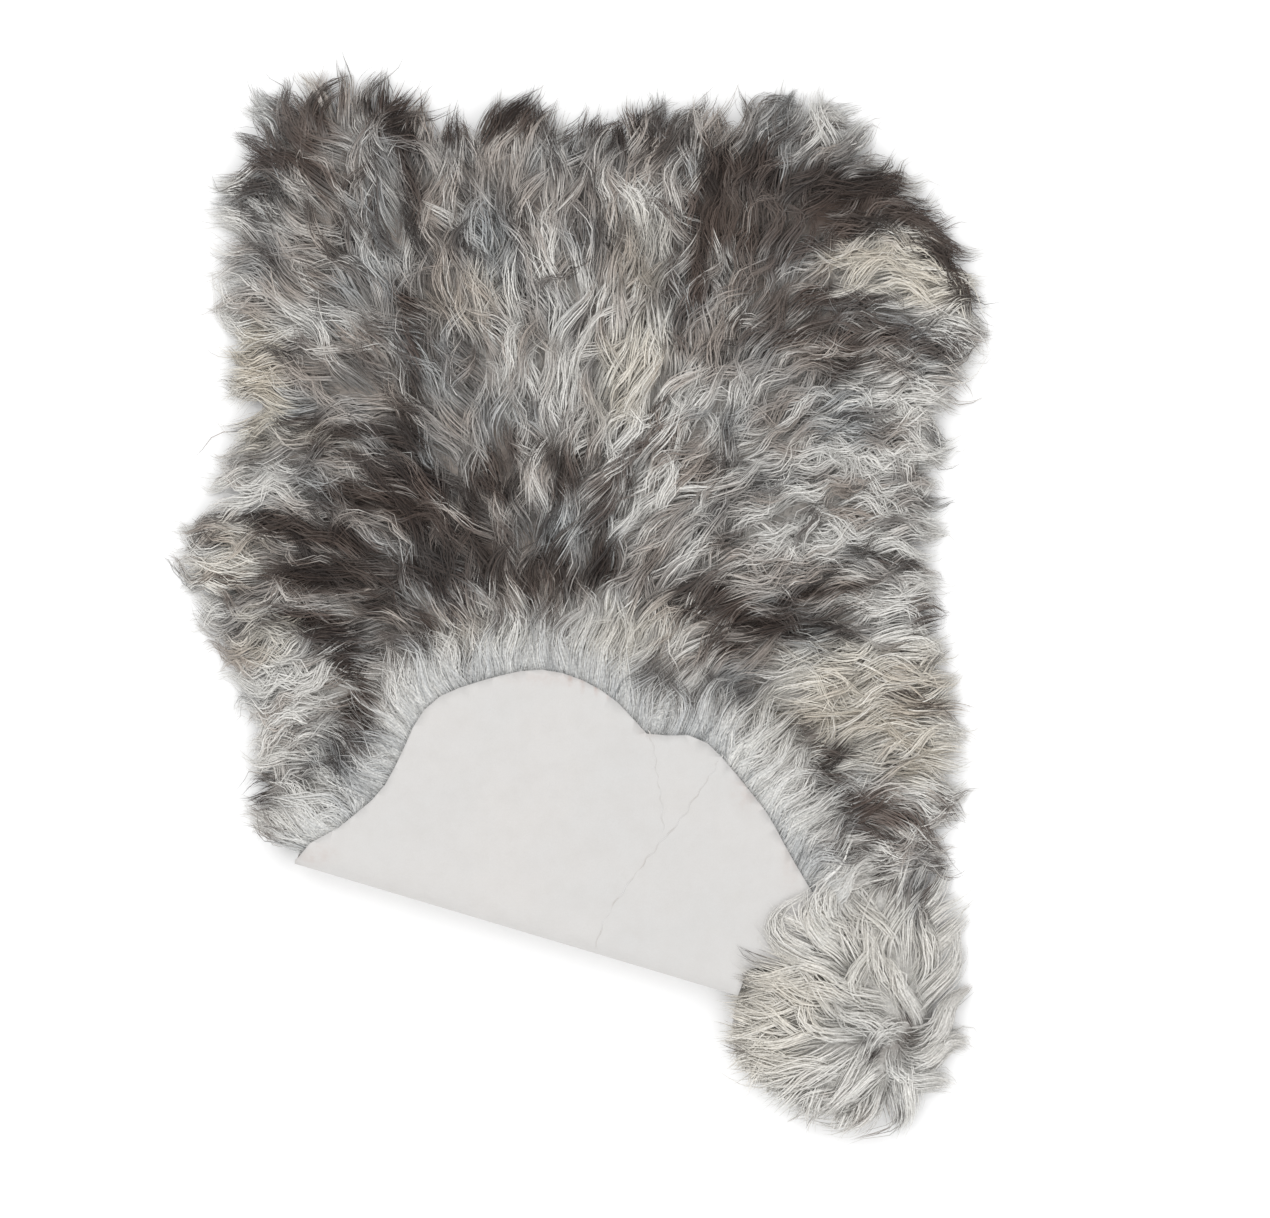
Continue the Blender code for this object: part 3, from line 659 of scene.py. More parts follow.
def lock_guides(roots, length, out=None):
    """The middle line of each lock in plan: it follows the lie of the wool and waves from side to side."""
    count = len(roots)
    curl = read(CURL, roots) if out is None else np.maximum(read(CURL, roots), FRINGE_CURL)
    cycles = mix(*WAVES_A_LOCK, curl) * chance.uniform(*WAVES_VARY, count)
    swing = np.radians(mix(*SWING, curl**SWING_POWER)) * chance.uniform(*SWING_VARIES, count)
    phase = PHASE_DRIFT * read(PHASE_NOISE, roots) + chance.normal(0, PHASE_VARIES, count)
    free = 1.0 if out is None else FRINGE_FREEDOM
    spread = mix(LEG_SPREAD, LOCK_SPREAD, smoothstep(read(FROM_LEG_MIDDLE, roots) / LEG_SPREAD_REACH))
    bias = free * np.radians(spread * chance.normal(0, 1, count) + BIAS_DRIFT * read(BIAS_NOISE, roots))
    turn = free * np.radians(chance.normal(0, TURN_VARIES, count) + TURN_DRIFT * read(LOCK_NOISE, roots))
    swing = swing * free
    place, guides = roots.copy(), [roots.copy()]
    step = length / GUIDE_STEPS
    for k in range(GUIDE_STEPS):
        share = k / GUIDE_STEPS
        way = read(WAY, place)
        if out is not None:
            way = mix(out, way, FRINGE_YIELDS[0] + FRINGE_YIELDS[1] * share)
        angle = np.arctan2(way[:, 1], way[:, 0])
        wave = swing * np.sin(2 * math.pi * cycles * share + phase) * mix(WAVE_AT_ROOT, 1.0, share)
        angle = angle + bias + wave + turn * (share - TURN_CENTRE)
        place = place + step[:, None] * np.stack([np.cos(angle), np.sin(angle)], axis=-1)
        guides.append(place)
    return np.stack(guides, axis=1)


def nearest(places, to):
    """The index of the nearest of some places to each given one."""
    tree = kdtree.KDTree(len(places))
    for i, (x, y) in enumerate(places):
        tree.insert((x, y, 0), i)
    tree.balance()
    return np.array([tree.find((x, y, 0))[1] for x, y in to])


def along_guides(guides, shares):
    """Points of each guide at its own shares of the way to its tip."""
    steps = np.clip(shares * GUIDE_STEPS, 0, GUIDE_STEPS - 0.001)
    low = steps.astype(int)
    rest = (steps - low)[..., None]
    rows = np.arange(len(guides))[:, None]
    return mix(guides[rows, low], guides[rows, low + 1], rest)


def first_stop(blocked):
    """The share of the way at which each row is first blocked, or 1."""
    stops = np.where(blocked.any(axis=1), blocked.argmax(axis=1), blocked.shape[1] - 1)
    return stops / (blocked.shape[1] - 1)


def strand_plans(roots, guides, locks, of_lock, may_cross, from_under=False):
    """The points of each strand in plan: beside its lock's guide at the root, drawn in to it at the tip."""
    count = len(roots)
    own = guides[of_lock]
    offset = roots - own[:, 0]
    shares = np.linspace(0, 1, GUIDE_STEPS + 1)[None, :, None]
    draw = chance.uniform(*(FRINGE_DRAW if from_under else LYING_DRAW), count)
    tight = TIGHT_DRAW * (locks.luck[of_lock] < TIGHT_SHARE)
    ringlet = RINGLET_DRAW * rise(read(CURL, own[:, 0]), *RINGLET_CURL)
    draw = np.minimum(draw + tight + ringlet, 1.0)
    full = own + offset[:, None] * (1 - draw[:, None, None] * shares**DRAW_POWER)
    turn = chance.uniform(0, 2 * math.pi, count)[:, None]
    rate = chance.uniform(*WISP_RATE, count)[:, None] * 2 * math.pi
    size = chance.gamma(*WISP_SIZE, count)[:, None]
    turned = rate * shares[..., 0]
    wisp = size * np.stack([np.sin(turned + turn), np.cos(turned * WISP_SIDE_RATE + turn)])
    full = full + np.moveaxis(wisp, 0, -1) * smoothstep(shares * 1.5)
    lock_room = RIM_LOCKS * read(LOCK_NOISE, own[:, 0])
    stray = STRAY_REACH * (chance.random(count) < STRAY_SHARE)
    room = RIM_ROOM + chance.normal(0, RIM_VARIES, count) + lock_room - stray
    blocked = read(IN_WOOL, full) < room[:, None]
    over_skin = read(IN_FLAP, full) > -0.002
    if from_under:
        blocked |= over_skin & (shares[..., 0] > FREE_OF_FLAP)
    else:
        held_off = read(IN_OVER_SKIN, full) < chance.normal(*OVER_SKIN_VARIES, count)[:, None]
        blocked |= over_skin & (held_off | ~may_cross[:, None])
    shortest = FRINGE_SHORTEST if from_under else LYING_SHORTEST
    limit = np.minimum(first_stop(blocked), chance.uniform(shortest, 1.0, count))
    limit = np.maximum(limit, LEAST_STRAND)
    points = along_guides(full, limit[:, None] * np.linspace(0, 1, STRAND_POINTS)[None])
    return points, offset


def lying_heights(points, of_lock, lifts, offset, may_cross, depths):
    """The heights of strands that grow on the lying skin."""
    count = len(points)
    share = np.linspace(0, 1, STRAND_POINTS)[None]
    top = read(PILE_TOP, points)
    depth = 1 - LOCK_DEPTH * (1 - depths[:, None])
    root = read(BASE_TOP, points[:, :1]) - 0.001
    lift = lifts[of_lock][:, None] * np.minimum(1, top / PILE)
    from_middle = np.linalg.norm(offset, axis=1) / (0.6 * LOCK_PITCH)
    sides = LOCK_SIDES * np.minimum(1, from_middle**2)[:, None]
    ripple = RIPPLE_HEIGHT * np.sin(2 * math.pi * (share * RIPPLES_A_STRAND + chance.random(count)[:, None]))
    droop = TIP_DROOP * share**2
    raised = top * depth + (lift - sides + ripple - droop) * np.minimum(1, top / THIN_PILE)
    height = mix(root, raised, smoothstep(share / ROOT_RISE))
    over = np.where(may_cross[:, None], rise(read(IN_FLAP, points), *CROSSING), 0)
    above = (RIDE_HEIGHT * depth + RIDE_LIFT * np.maximum(lift, 0)) * (1 - RIDE_SETTLES * share)
    ride = flap_height(points) + OFF_SKIN + above
    return np.maximum(mix(height, np.maximum(height, ride), over), OFF_FLOOR)


def fringe_heights(points, lifts, of_lock, depths):
    """The heights of strands that come out from under the turned-up skin and lie down on the wool."""
    share = np.linspace(0, 1, STRAND_POINTS)[None]
    out = -read(IN_FLAP, points)
    under = flap_height(points) - HIDE_THICK - 0.0018
    level = depths[:, None]
    wool = np.maximum(read(PILE_TOP, points), 0.004)
    on_wool = wool + 0.003 + FRINGE_THICK * level + lifts[of_lock][:, None] * 0.5
    fallen = mix(under - FRINGE_THICK * (1 - level), on_wool, smoothstep(out / FRINGE_FALL))
    fallen = np.where(out < 0.003, np.minimum(fallen, under), fallen)
    return np.maximum(fallen - FRINGE_DROOP * share**3, OFF_FLOOR)


# Colours of the wool


def strand_colours(points, of_lock, locks, depths, offset, from_under):
    """The colour of each point of each strand, from its pale root to its tip, with painted shade and light
    for where it lies in its lock.
    """
    count = len(points)
    share = np.linspace(0, 1, STRAND_POINTS)[None]
    way = points[:, -1] - points[:, 0]
    way /= np.maximum(np.linalg.norm(way, axis=1, keepdims=True), 1e-6)
    tone_of, luck_of = locks.tones[of_lock][:, None], locks.luck[of_lock][:, None]
    seen = points - (way * (0.005 * tone_of + chance.normal(0, 0.006, (count, 1))))[:, None]
    dark, brown = read(DARKNESS, seen), read(BROWNNESS, seen)
    cream, light = read(CREAMINESS, seen), read(LIGHTNESS, seen)
    own = chance.random(count)[:, None]
    warm = smoothstep(0.62 + 0.7 * read(WARMTH, seen) + 0.1 * tone_of)[..., None]
    tone = np.clip(0.52 + 0.40 * read(TONE, seen) + 0.20 * tone_of + 0.12 * (own - 0.5), 0, 1)[..., None]
    colour = mix(COOL_GREY, WARM_GREY, warm)
    colour = mix(DEEP_GREY, colour, smoothstep(tone * 1.9))
    colour = mix(colour, PALE_GREY, smoothstep((tone - 0.5) / 0.5) * 0.7)
    picked = LOCK_WEIGHT * luck_of + 0.2 * own
    pale = smoothstep((0.10 + 1.05 * light - (1 - picked)) / PALE_BAND + 0.3)
    colour = mix(colour, PALE_GREY, (0.85 * pale)[..., None])
    colour = mix(colour, CREAM_WOOL, (0.72 * cream * mix(0.7, 1.0, own))[..., None])
    # A few strands are whitened from near the root: white hairs, and painted highlights, more of them in
    # light wool.
    white_share = WHITE_SHARE + WHITE_SHARE_IF_LIGHT * light * (luck_of > 0.5)
    white = (chance.random(count)[:, None] < white_share) * rise(share, *WHITE_START)
    colour = mix(colour, WHITE_HAIR_AND_HIGHLIGHT, (0.50 * white)[..., None])
    browner = np.clip(0.6 * brown + 0.55 * luck_of + 0.06 * tone_of + 0.3 * (own - 0.5), 0, 1)
    deep = mix(BLACK_WOOL, BROWN_WOOL, browner[..., None])
    everywhere = DARK_EVERYWHERE * (1 + read(TONE, seen)) * (1 - 0.8 * light)
    wanted = everywhere + DARK_IF_BROWN * brown + DARK_IF_DARK * dark
    wanted = np.minimum(wanted * (1 - 0.45 * cream), DARK_AT_MOST)
    chosen = smoothstep((wanted - picked) / DARK_BAND + 0.5)
    start = DARK_START - DARK_LENGTH * wanted + DARK_START_VARIES * (chance.random((count, 1)) - 0.5)
    start = np.clip(start, *DARK_STARTS)
    strength = mix(0.82, 1.0, np.minimum(1, dark + 0.3 * own))
    depth = chosen * rise(share, start, DARK_BAND) * strength * (1 - 0.12 * luck_of)
    colour = mix(colour, deep, depth[..., None])
    pale_root = mix(ROOT_GREY, PALE_GREY, light[..., None])
    dark_root = mix(BROWN_WOOL, DEEP_GREY, 0.5)
    root = mix(pale_root, dark_root, smoothstep(dark * 1.2)[..., None])
    colour = mix(root, colour, mix(ROOT_SEEN_THROUGH, 1.0, rise(share, *ROOT_SHOWS))[..., None])
    own_start = share - FRINGE_OWN_START - FRINGE_OWN_VARIES * own
    rootward = from_under * (1 - smoothstep(own_start / FRINGE_OWN_FADE))
    paler = 0.55 * own + 0.45 * (luck_of - 0.5) + FRINGE_PALER * np.maximum(light - FRINGE_PALER_FROM, 0)
    fringe = mix(FRINGE_GREY, PALE_GREY, np.minimum(paler, 1.1)[..., None])
    colour = mix(colour, fringe, (0.9 * rootward)[..., None])
    # Painted shade: each strand is darkened the deeper it lies in its lock and the further it is from the
    # lock's middle, and brightened in light wool as painted light; the small random factor is the strand's
    # own tone.
    sideways = np.minimum(1, np.linalg.norm(offset, axis=1) / (0.55 * LOCK_PITCH))
    shade = mix(DEEP_SHADE, TOP_SHADE, depths) * (1 - SIDE_SHADE * sideways**2)
    shade = shade * chance.uniform(*SHADE_VARIES, count)
    shade = mix(shade, LIGHT_SHADE, 0.65 * light.mean(axis=1))
    return np.clip(colour * shade[:, None, None], *COLOUR_LIMITS)


# Meshes


def new_piece(name, mesh, material):
    made = bpy.data.objects.new(name, mesh)
    bpy.context.scene.collection.objects.link(made)
    mesh.materials.append(material)
    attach(made, "root")
    return made


def mesh_of(name, points, faces):
    """A mesh of faces that are given as arrays, each of one number of corners."""
    mesh = bpy.data.meshes.new(name)
    corners = np.concatenate([kind.reshape(-1) for kind in faces])
    sizes = np.concatenate([np.full(len(kind), kind.shape[1]) for kind in faces])
    mesh.vertices.add(len(points))
    mesh.vertices.foreach_set("co", points.astype(np.float32).reshape(-1))
    mesh.loops.add(len(corners))
    mesh.loops.foreach_set("vertex_index", corners.astype(np.int32))
    mesh.polygons.add(len(sizes))
    mesh.polygons.foreach_set("loop_start", (np.cumsum(sizes) - sizes).astype(np.int32))
    mesh.update(calc_edges=True)
    mesh.shade_smooth()
    return mesh


def ribbon_sides(paths, rolls):
    """The way across each strand at each of its points: level, then rolled round the strand."""
    run = np.gradient(paths, axis=1)
    run /= np.maximum(np.linalg.norm(run, axis=-1, keepdims=True), 1e-9)
    level = np.stack([-run[..., 1], run[..., 0], np.zeros(run.shape[:2])], axis=-1)
    level /= np.maximum(np.linalg.norm(level, axis=-1, keepdims=True), 1e-9)
    up = np.cross(run, level)
    turn = rolls[:, None, None] * np.linspace(1.0, ROLL_AT_TIP, STRAND_POINTS)[None, :, None]
    return level * np.cos(turn) + up * np.sin(turn)


def strand_mesh(name, paths, rolls, widths, colours):
    """Every strand as a narrow ribbon that tapers to its tip, each with a place of its own in the UV map."""
    count, last = len(paths), STRAND_POINTS - 1
    share = np.linspace(0, 1, STRAND_POINTS)[None]
    taper = (0.55 + 0.45 * smoothstep(share / 0.25)) * (1 - share**3.5)
    half = (widths[:, None] * taper / 2)[..., None] * ribbon_sides(paths, rolls)
    each = 2 * last + 1
    points = np.empty((count, each, 3))
    points[:, 0 : 2 * last : 2] = (paths - half)[:, :last]
    points[:, 1 : 2 * last : 2] = (paths + half)[:, :last]
    points[:, -1] = paths[:, -1]
    first = (np.arange(count) * each)[:, None, None]
    rung = 2 * np.arange(last - 1)[None, :, None]
    quads = (first + rung + np.array((0, 1, 3, 2))[None, None]).reshape(-1, 4)
    tips = (first[:, 0] + np.array((2 * last - 2, 2 * last - 1, 2 * last))[None]).reshape(-1, 3)
    mesh = mesh_of(name, points.reshape(-1, 3), [quads, tips])
    shades = np.ones((count, each, 4))
    shades[:, :-1, :3] = np.repeat(colours[:, :last], 2, axis=1)
    shades[:, -1, :3] = colours[:, -1]
    layer = mesh.color_attributes.new("strand", "FLOAT_COLOR", "POINT")
    layer.data.foreach_set("color", shades.astype(np.float32).reshape(-1))
    number = np.arange(count)
    corner = np.stack([number % UV_COLUMNS / UV_COLUMNS, number // UV_COLUMNS / UV_ROWS], axis=-1)
    inner = np.empty((each, 2))
    inner[:-1, 0] = np.tile(UV_SIDES, last)
    inner[:-1, 1] = np.repeat(np.linspace(*UV_ENDS, STRAND_POINTS)[:last], 2)
    inner[-1] = (0.5, UV_ENDS[1])
    spots = corner[:, None] + inner[None] / np.array((UV_COLUMNS, UV_ROWS))
    spots = spots.reshape(-1, 2)
    order = np.concatenate([quads.reshape(-1), tips.reshape(-1)])
    mesh.uv_layers.new(name="OFBake").data.foreach_set("uv", spots[order].astype(np.float32).reshape(-1))
    return mesh


def slab(name, cells, under, over):
    """A closed slab over the cells of a coarse grid, between two maps of heights."""
    places = PLACES[::BASE_STEP, ::BASE_STEP]
    wide, high = cells.shape
    used = np.zeros(places.shape[:2], bool)
    for i, j in ((0, 0), (1, 0), (0, 1), (1, 1)):
        used[i : wide + i, j : high + j] |= cells
    index = np.cumsum(used.reshape(-1)).reshape(used.shape) - 1
    flat = places[used]
    low = np.column_stack([flat, under[used]])
    top = np.column_stack([flat, over[used]])
    count = len(flat)
    i, j = np.nonzero(cells)
    ring = np.stack([index[i, j], index[i + 1, j], index[i + 1, j + 1], index[i, j + 1]], axis=1)
    faces = [ring + count, ring[:, ::-1]]
    padded = np.pad(cells, 1)
    sides = (((0, -1), (0, 1)), ((1, 0), (1, 2)), ((0, 1), (2, 3)), ((-1, 0), (3, 0)))
    for (di, dj), (a, b) in sides:
        bare = ~padded[i + 1 + di, j + 1 + dj]
        start, end = ring[bare, a], ring[bare, b]
        faces.append(np.stack([start, end, end + count, start + count], axis=1))
    return mesh_of(name, np.concatenate([low, top]), faces)


def whole_cells(mask):
    """The cells of the coarse grid whose four corners are all in a region."""
    coarse = mask[::BASE_STEP, ::BASE_STEP]
    return coarse[:-1, :-1] & coarse[1:, :-1] & coarse[:-1, 1:] & coarse[1:, 1:]


# Materials


def shader_nodes(name):
    made = bpy.data.materials.new(name)
    made.use_nodes = True
    tree = made.node_tree
    return made, tree, tree.nodes["Principled BSDF"]


def node(tree, kind, values=None, **settings):
    made = tree.nodes.new(kind)
    for key, value in settings.items():
        setattr(made, key, value)
    for key, value in (values or {}).items():
        if isinstance(value, bpy.types.NodeSocket):
            tree.links.new(value, made.inputs[key])
        else:
            made.inputs[key].default_value = value
    return made


def object_noise(tree, scale, detail, rough=0.5):
    places = node(tree, "ShaderNodeTexCoord").outputs["Object"]
    values = {"Vector": places, "Scale": scale, "Detail": detail, "Roughness": rough}
    return node(tree, "ShaderNodeTexNoise", values).outputs["Fac"]


def ramp(tree, value, start, end, low, high):
    values = {"Value": value, "From Min": start, "From Max": end, "To Min": low, "To Max": high}
    return node(tree, "ShaderNodeMapRange", values).outputs["Result"]


def blend(tree, kind, share, first, second):
    made = node(tree, "ShaderNodeMix", data_type="RGBA", blend_type=kind)
    for slot, value in ((0, share), (6, first), (7, second)):
        if isinstance(value, bpy.types.NodeSocket):
            tree.links.new(value, made.inputs[slot])
        else:
            made.inputs[slot].default_value = value
    return made.outputs[2]


def vector_math(tree, operation, *values):
    return node(tree, "ShaderNodeVectorMath", dict(enumerate(values)), operation=operation)


def bump(tree, height, strength, distance, normal=None):
    values = {"Height": height, "Strength": strength, "Distance": distance}
    if normal:
        values["Normal"] = normal
    return node(tree, "ShaderNodeBump", values).outputs[0]


def wool_material(name, streaks):
    """Wool whose colour comes with each strand, with finer streaks and a soft sheen."""
    made, tree, shader = shader_nodes(name)
    colour = node(tree, "ShaderNodeVertexColor", layer_name="strand").outputs["Color"]
    fine = ramp(tree, object_noise(tree, streaks, 3), 0.3, 0.7, 0.80, 1.16)
    grey = node(tree, "ShaderNodeCombineColor", {"Red": fine, "Green": fine, "Blue": fine}).outputs["Color"]
    tree.links.new(blend(tree, "MULTIPLY", 1.0, colour, grey), shader.inputs["Base Color"])
    rough = ramp(tree, object_noise(tree, 60, 2), 0.3, 0.7, 0.48, 0.66)
    tree.links.new(rough, shader.inputs["Roughness"])
    shader.inputs["Specular IOR Level"].default_value = 0.15
    shader.inputs["Sheen Weight"].default_value = 0.06
    shader.inputs["Sheen Roughness"].default_value = 0.5
    return made


def skin_material():
    """Tanned skin side: a pale suede with soft mottling, a fine nap and a few small marks."""
    made, tree, shader = shader_nodes("tanned skin")
    mottles = ramp(tree, object_noise(tree, 9, 4, 0.6), 0.3, 0.7, 0, 1)
    colour = blend(tree, "MIX", mottles, SKIN_WARM, SKIN_COOL)
    veins = ramp(tree, object_noise(tree, 42, 6, 0.65), 0.42, 0.75, 0, 0.30)
    colour = blend(tree, "MIX", veins, colour, SKIN_DULL)
    specks = ramp(tree, object_noise(tree, 900, 2), 0.35, 0.75, 0, 0.22)
    colour = blend(tree, "MIX", specks, colour, SKIN_DULL)
    places = node(tree, "ShaderNodeTexCoord").outputs["Object"]
    for px, py, long, wide, _, strength in PINK_MARKS:
        x, y = on_rug(px, py)
        away = vector_math(tree, "SUBTRACT", places, (x, y, 2 * BEND_RADIUS)).outputs[0]
        scaled = vector_math(tree, "MULTIPLY", away, (1000 / long, 1000 / wide, 20)).outputs[0]
        length = vector_math(tree, "LENGTH", scaled).outputs["Value"]
        broken = ramp(tree, object_noise(tree, 150, 3), 0.40, 0.62, 0.25, 1)
        share = ramp(tree, length, 0.25, 1.25, strength, 0)
        share = node(tree, "ShaderNodeMath", {0: share, 1: broken}, operation="MULTIPLY").outputs[0]
        colour = blend(tree, "MIX", share, colour, SKIN_PINK)
    tree.links.new(colour, shader.inputs["Base Color"])
    rough = ramp(tree, object_noise(tree, 30, 3), 0.3, 0.7, 0.78, 0.92)
    tree.links.new(rough, shader.inputs["Roughness"])
    shader.inputs["Specular IOR Level"].default_value = 0.25
    shader.inputs["Sheen Weight"].default_value = 0.15
    nap = bump(tree, object_noise(tree, 1500, 3), 0.25, 0.0004)
    soft = bump(tree, object_noise(tree, 55, 4, 0.6), 0.35, 0.003, nap)
    tree.links.new(soft, shader.inputs["Normal"])
    return made


def crease_material():
    """The fine healed cuts and seams in the skin: a little darker than it."""
    made, tree, shader = shader_nodes("skin crease")
    share = ramp(tree, object_noise(tree, 70, 3), 0.35, 0.65, 0, 1)
    tree.links.new(blend(tree, "MIX", share, SKIN_DULL, SKIN_COOL), shader.inputs["Base Color"])
    shader.inputs["Roughness"].default_value = 0.85
    tree.links.new(bump(tree, object_noise(tree, 900, 3), 0.3, 0.0004), shader.inputs["Normal"])
    return made


def floor_material():
    made, tree, shader = shader_nodes("pale floor")
    share = ramp(tree, object_noise(tree, 3, 2), 0.3, 0.7, 0, 1)
    colour = blend(tree, "MIX", share, FLOOR_PALE, FLOOR_PALER)
    tree.links.new(colour, shader.inputs["Base Color"])
    shader.inputs["Roughness"].default_value = 0.9
    return made


# The skin


def mark_outer(mesh):
    """A layer that says of each corner whether it is on the skin's outer side, which the bend shows."""
    layer = mesh.verts.layers.float.new("outer")
    for vert in mesh.verts:
        place = np.array(vert.co[:2])
        from_axis = float((place - FOLD_LEFT) @ ACROSS) - BEND_RADIUS
        if from_axis < 0:
            outer = math.hypot(from_axis, vert.co.z - BEND_RADIUS) > BEND_RADIUS - 0.6 * HIDE_THICK
        else:
            outer = vert.co.z > float(flap_height(place)) - HIDE_THICK / 2 - SIDE_SLACK
        vert[layer] = float(outer)
    return layer


def on_exact_bend(point, outer):
    """A point of the hide's copy, moved onto the true round of the bend or the true lie past it."""
    place = np.array(point[:2])
    from_axis = float((place - FOLD_LEFT) @ ACROSS) - BEND_RADIUS
    if (place - FOLD_LEFT) @ ALONG > FOLD_LENGTH + 0.001:
        return point
    if point.z > TURNED_UP and from_axis > 0:
        return Vector((*place, float(flap_height(place)) - HIDE_THICK * (1 - outer)))
    if from_axis >= 0:
        return point
    height = point.z - BEND_RADIUS
    radius = math.hypot(from_axis, height)
    exact = BEND_RADIUS - HIDE_THICK * (1 - outer)
    moved = place + ACROSS * from_axis * (exact / radius - 1)
    return Vector((*moved, BEND_RADIUS + height * exact / radius))


def cut_across(mesh, way):
    """Upright cuts through the mesh at an even pitch, so that its long faces can follow soft curves."""
    reach = [float(np.array(vert.co[:2]) @ way) for vert in mesh.verts]
    for place in np.arange(min(reach) + SKIN_PITCH / 2, max(reach), SKIN_PITCH):
        geom = mesh.verts[:] + mesh.edges[:] + mesh.faces[:]
        start = (*(way * place), 0)
        bmesh.ops.bisect_plane(mesh, geom=geom, dist=CUT_SLACK, plane_co=start, plane_no=(*way, 0))


def cut_bend(mesh):
    """Cuts through the axis of the bend, so that its few flat strips can be made truly round."""
    axis = FOLD_LEFT + ACROSS * BEND_RADIUS
    for turn in np.arange(BEND_TURN / 2, math.pi, BEND_TURN):
        bend = []
        for face in mesh.faces:
            away = np.array(face.calc_center_median()[:2]) - axis
            if away @ ACROSS < 0 and away @ ALONG < FOLD_LENGTH:
                bend.append(face)
        edges = {edge for face in bend for edge in face.edges}
        verts = {vert for face in bend for vert in face.verts}
        start, facing = (*axis, BEND_RADIUS), (*(-ACROSS * math.cos(turn)), math.sin(turn))
        geom = [*verts, *edges, *bend]
        bmesh.ops.bisect_plane(mesh, geom=geom, dist=CUT_SLACK, plane_co=start, plane_no=facing)


def soft_ripple(x, y):
    """The soft ripple of the turned-up skin over a place in plan."""
    return RIPPLE * noise.noise(Vector((x, y, 0)) / RIPPLE_SIZE)


def make_skin(material):
    """The whole skin in one sheet: the solid's mesh made finer, set true on its bend and softly rippled."""
    mesh = bmesh.new()
    mesh.from_mesh(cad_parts["hide"].data)
    bmesh.ops.remove_doubles(mesh, verts=mesh.verts, dist=JOIN_GAP)
    layer = mark_outer(mesh)
    cut_across(mesh, ALONG)
    cut_across(mesh, ACROSS)
    cut_bend(mesh)
    bmesh.ops.triangulate(mesh, faces=mesh.faces[:])
    for vert in mesh.verts:
        vert.co = on_exact_bend(vert.co, vert[layer])
    for vert in mesh.verts:
        if vert.co.z > TURNED_UP:
            fine = FINE_RIPPLE * noise.noise(Vector((vert.co.x, vert.co.y, 3)) / FINE_RIPPLE_SIZE)
            calm = float(rise(vert.co.z, TURNED_UP, RIPPLE_RISE))
            vert.co.z += calm * (soft_ripple(vert.co.x, vert.co.y) + fine)
    made = bpy.data.meshes.new("skin")
    mesh.to_mesh(made)
    mesh.free()
    made.materials.clear()
    made.shade_smooth()
    made.set_sharp_from_angle(angle=SHARP_EDGE)
    skin = new_piece("skin", made, material)
    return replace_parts(skin, "hide")


def make_crease(number, pixels, material):
    """A fine ridge along a healed cut in the turned-up skin, half sunk in it."""
    line = bpy.data.curves.new(f"crease_{number}", "CURVE")
    line.dimensions = "3D"
    line.bevel_depth = CREASE_RADIUS
    line.bevel_resolution = 2
    line.use_fill_caps = True
    fine = []
    for (ax, ay), (bx, by) in zip(pixels, pixels[1:]):
        shares = np.arange(CREASE_STEPS) / CREASE_STEPS
        fine += [(mix(ax, bx, share), mix(ay, by, share)) for share in shares]
    fine.append(pixels[-1])
    spline = line.splines.new("POLY")
    spline.points.add(len(fine) - 1)
    for i, (px, py) in enumerate(fine):
        x, y = on_rug(px + 1.1 * math.sin(i * 1.3), py + 0.9 * math.sin(i * 0.9 + number))
        height = float(flap_height(np.array((x, y)))) + soft_ripple(x, y) - CREASE_SUNK
        spline.points[i].co = (x, y, height, 1)
        ends = min(1.0, i / 4, (len(fine) - 1 - i) / 4)
        spline.points[i].radius = (0.70 + 0.30 * ends) * (0.94 + 0.06 * math.sin(i * 2.1))
    return new_piece(f"crease_{number}", line, material)


# The wool


def make_base(material):
    """The thick under-wool that the strands grow from, on the lying skin and under the turned part."""
    lying = whole_cells(IN_PELT > 0.001)
    under = np.full(PLACES.shape[:2], HIDE_THICK + BASE_GAP)
    turned = whole_cells(IN_FLAP > TURNED_BASE_RIM)
    turned_over = flap_height(PLACES) - HIDE_THICK - TURNED_BASE_GAP
    turned_under = turned_over - TURNED_BASE_THICK
    pieces = []
    slabs = (("wool_base", lying, under, BASE_TOP), ("wool_base_turned", turned, turned_under, turned_over))
    for name, cells, low, high in slabs:
        mesh = slab(name, cells, low[::BASE_STEP, ::BASE_STEP], high[::BASE_STEP, ::BASE_STEP])
        places = np.empty(len(mesh.vertices) * 3)
        mesh.vertices.foreach_get("co", places)
        places = places.reshape(-1, 3)[:, :2]
        dark = read(DARKNESS, places)[:, None]
        light = read(LIGHTNESS, places)[:, None]
        # Painted shade: the under-wool takes 0.75 of the warm grey and 0.85 of the pale grey, darker than the
        # strands, for the shade deep among the locks; the dark patches that it follows are the wool's own
        # colours.
        pale = mix(0.75 * WARM_GREY, 0.85 * PALE_GREY, 0.1 + 0.8 * light)
        shades = np.ones((len(places), 4), np.float32)
        shades[:, :3] = mix(pale, mix(BLACK_WOOL, BROWN_WOOL, 0.6), dark)
        layer = mesh.color_attributes.new("strand", "FLOAT_COLOR", "POINT")
        layer.data.foreach_set("color", shades.reshape(-1))
        pieces.append(new_piece(name, mesh, material))
    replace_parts(pieces[0], "fleece")
    return pieces


def strand_depths(count):
    """How near each strand lies to the top of its lock, from 0 to 1: most of them near it."""
    return 1 - chance.random(count) ** 1.7


def lock_facts(count):
    """How far each lock is raised over its neighbours, its own tone, and its luck in being dark or pale."""
    luck = chance.random(count)
    lifts = chance.normal(0, 0.0030, count) + 0.006 * (0.5 - luck)
    return Locks(lifts, chance.normal(0, 1, count), luck)


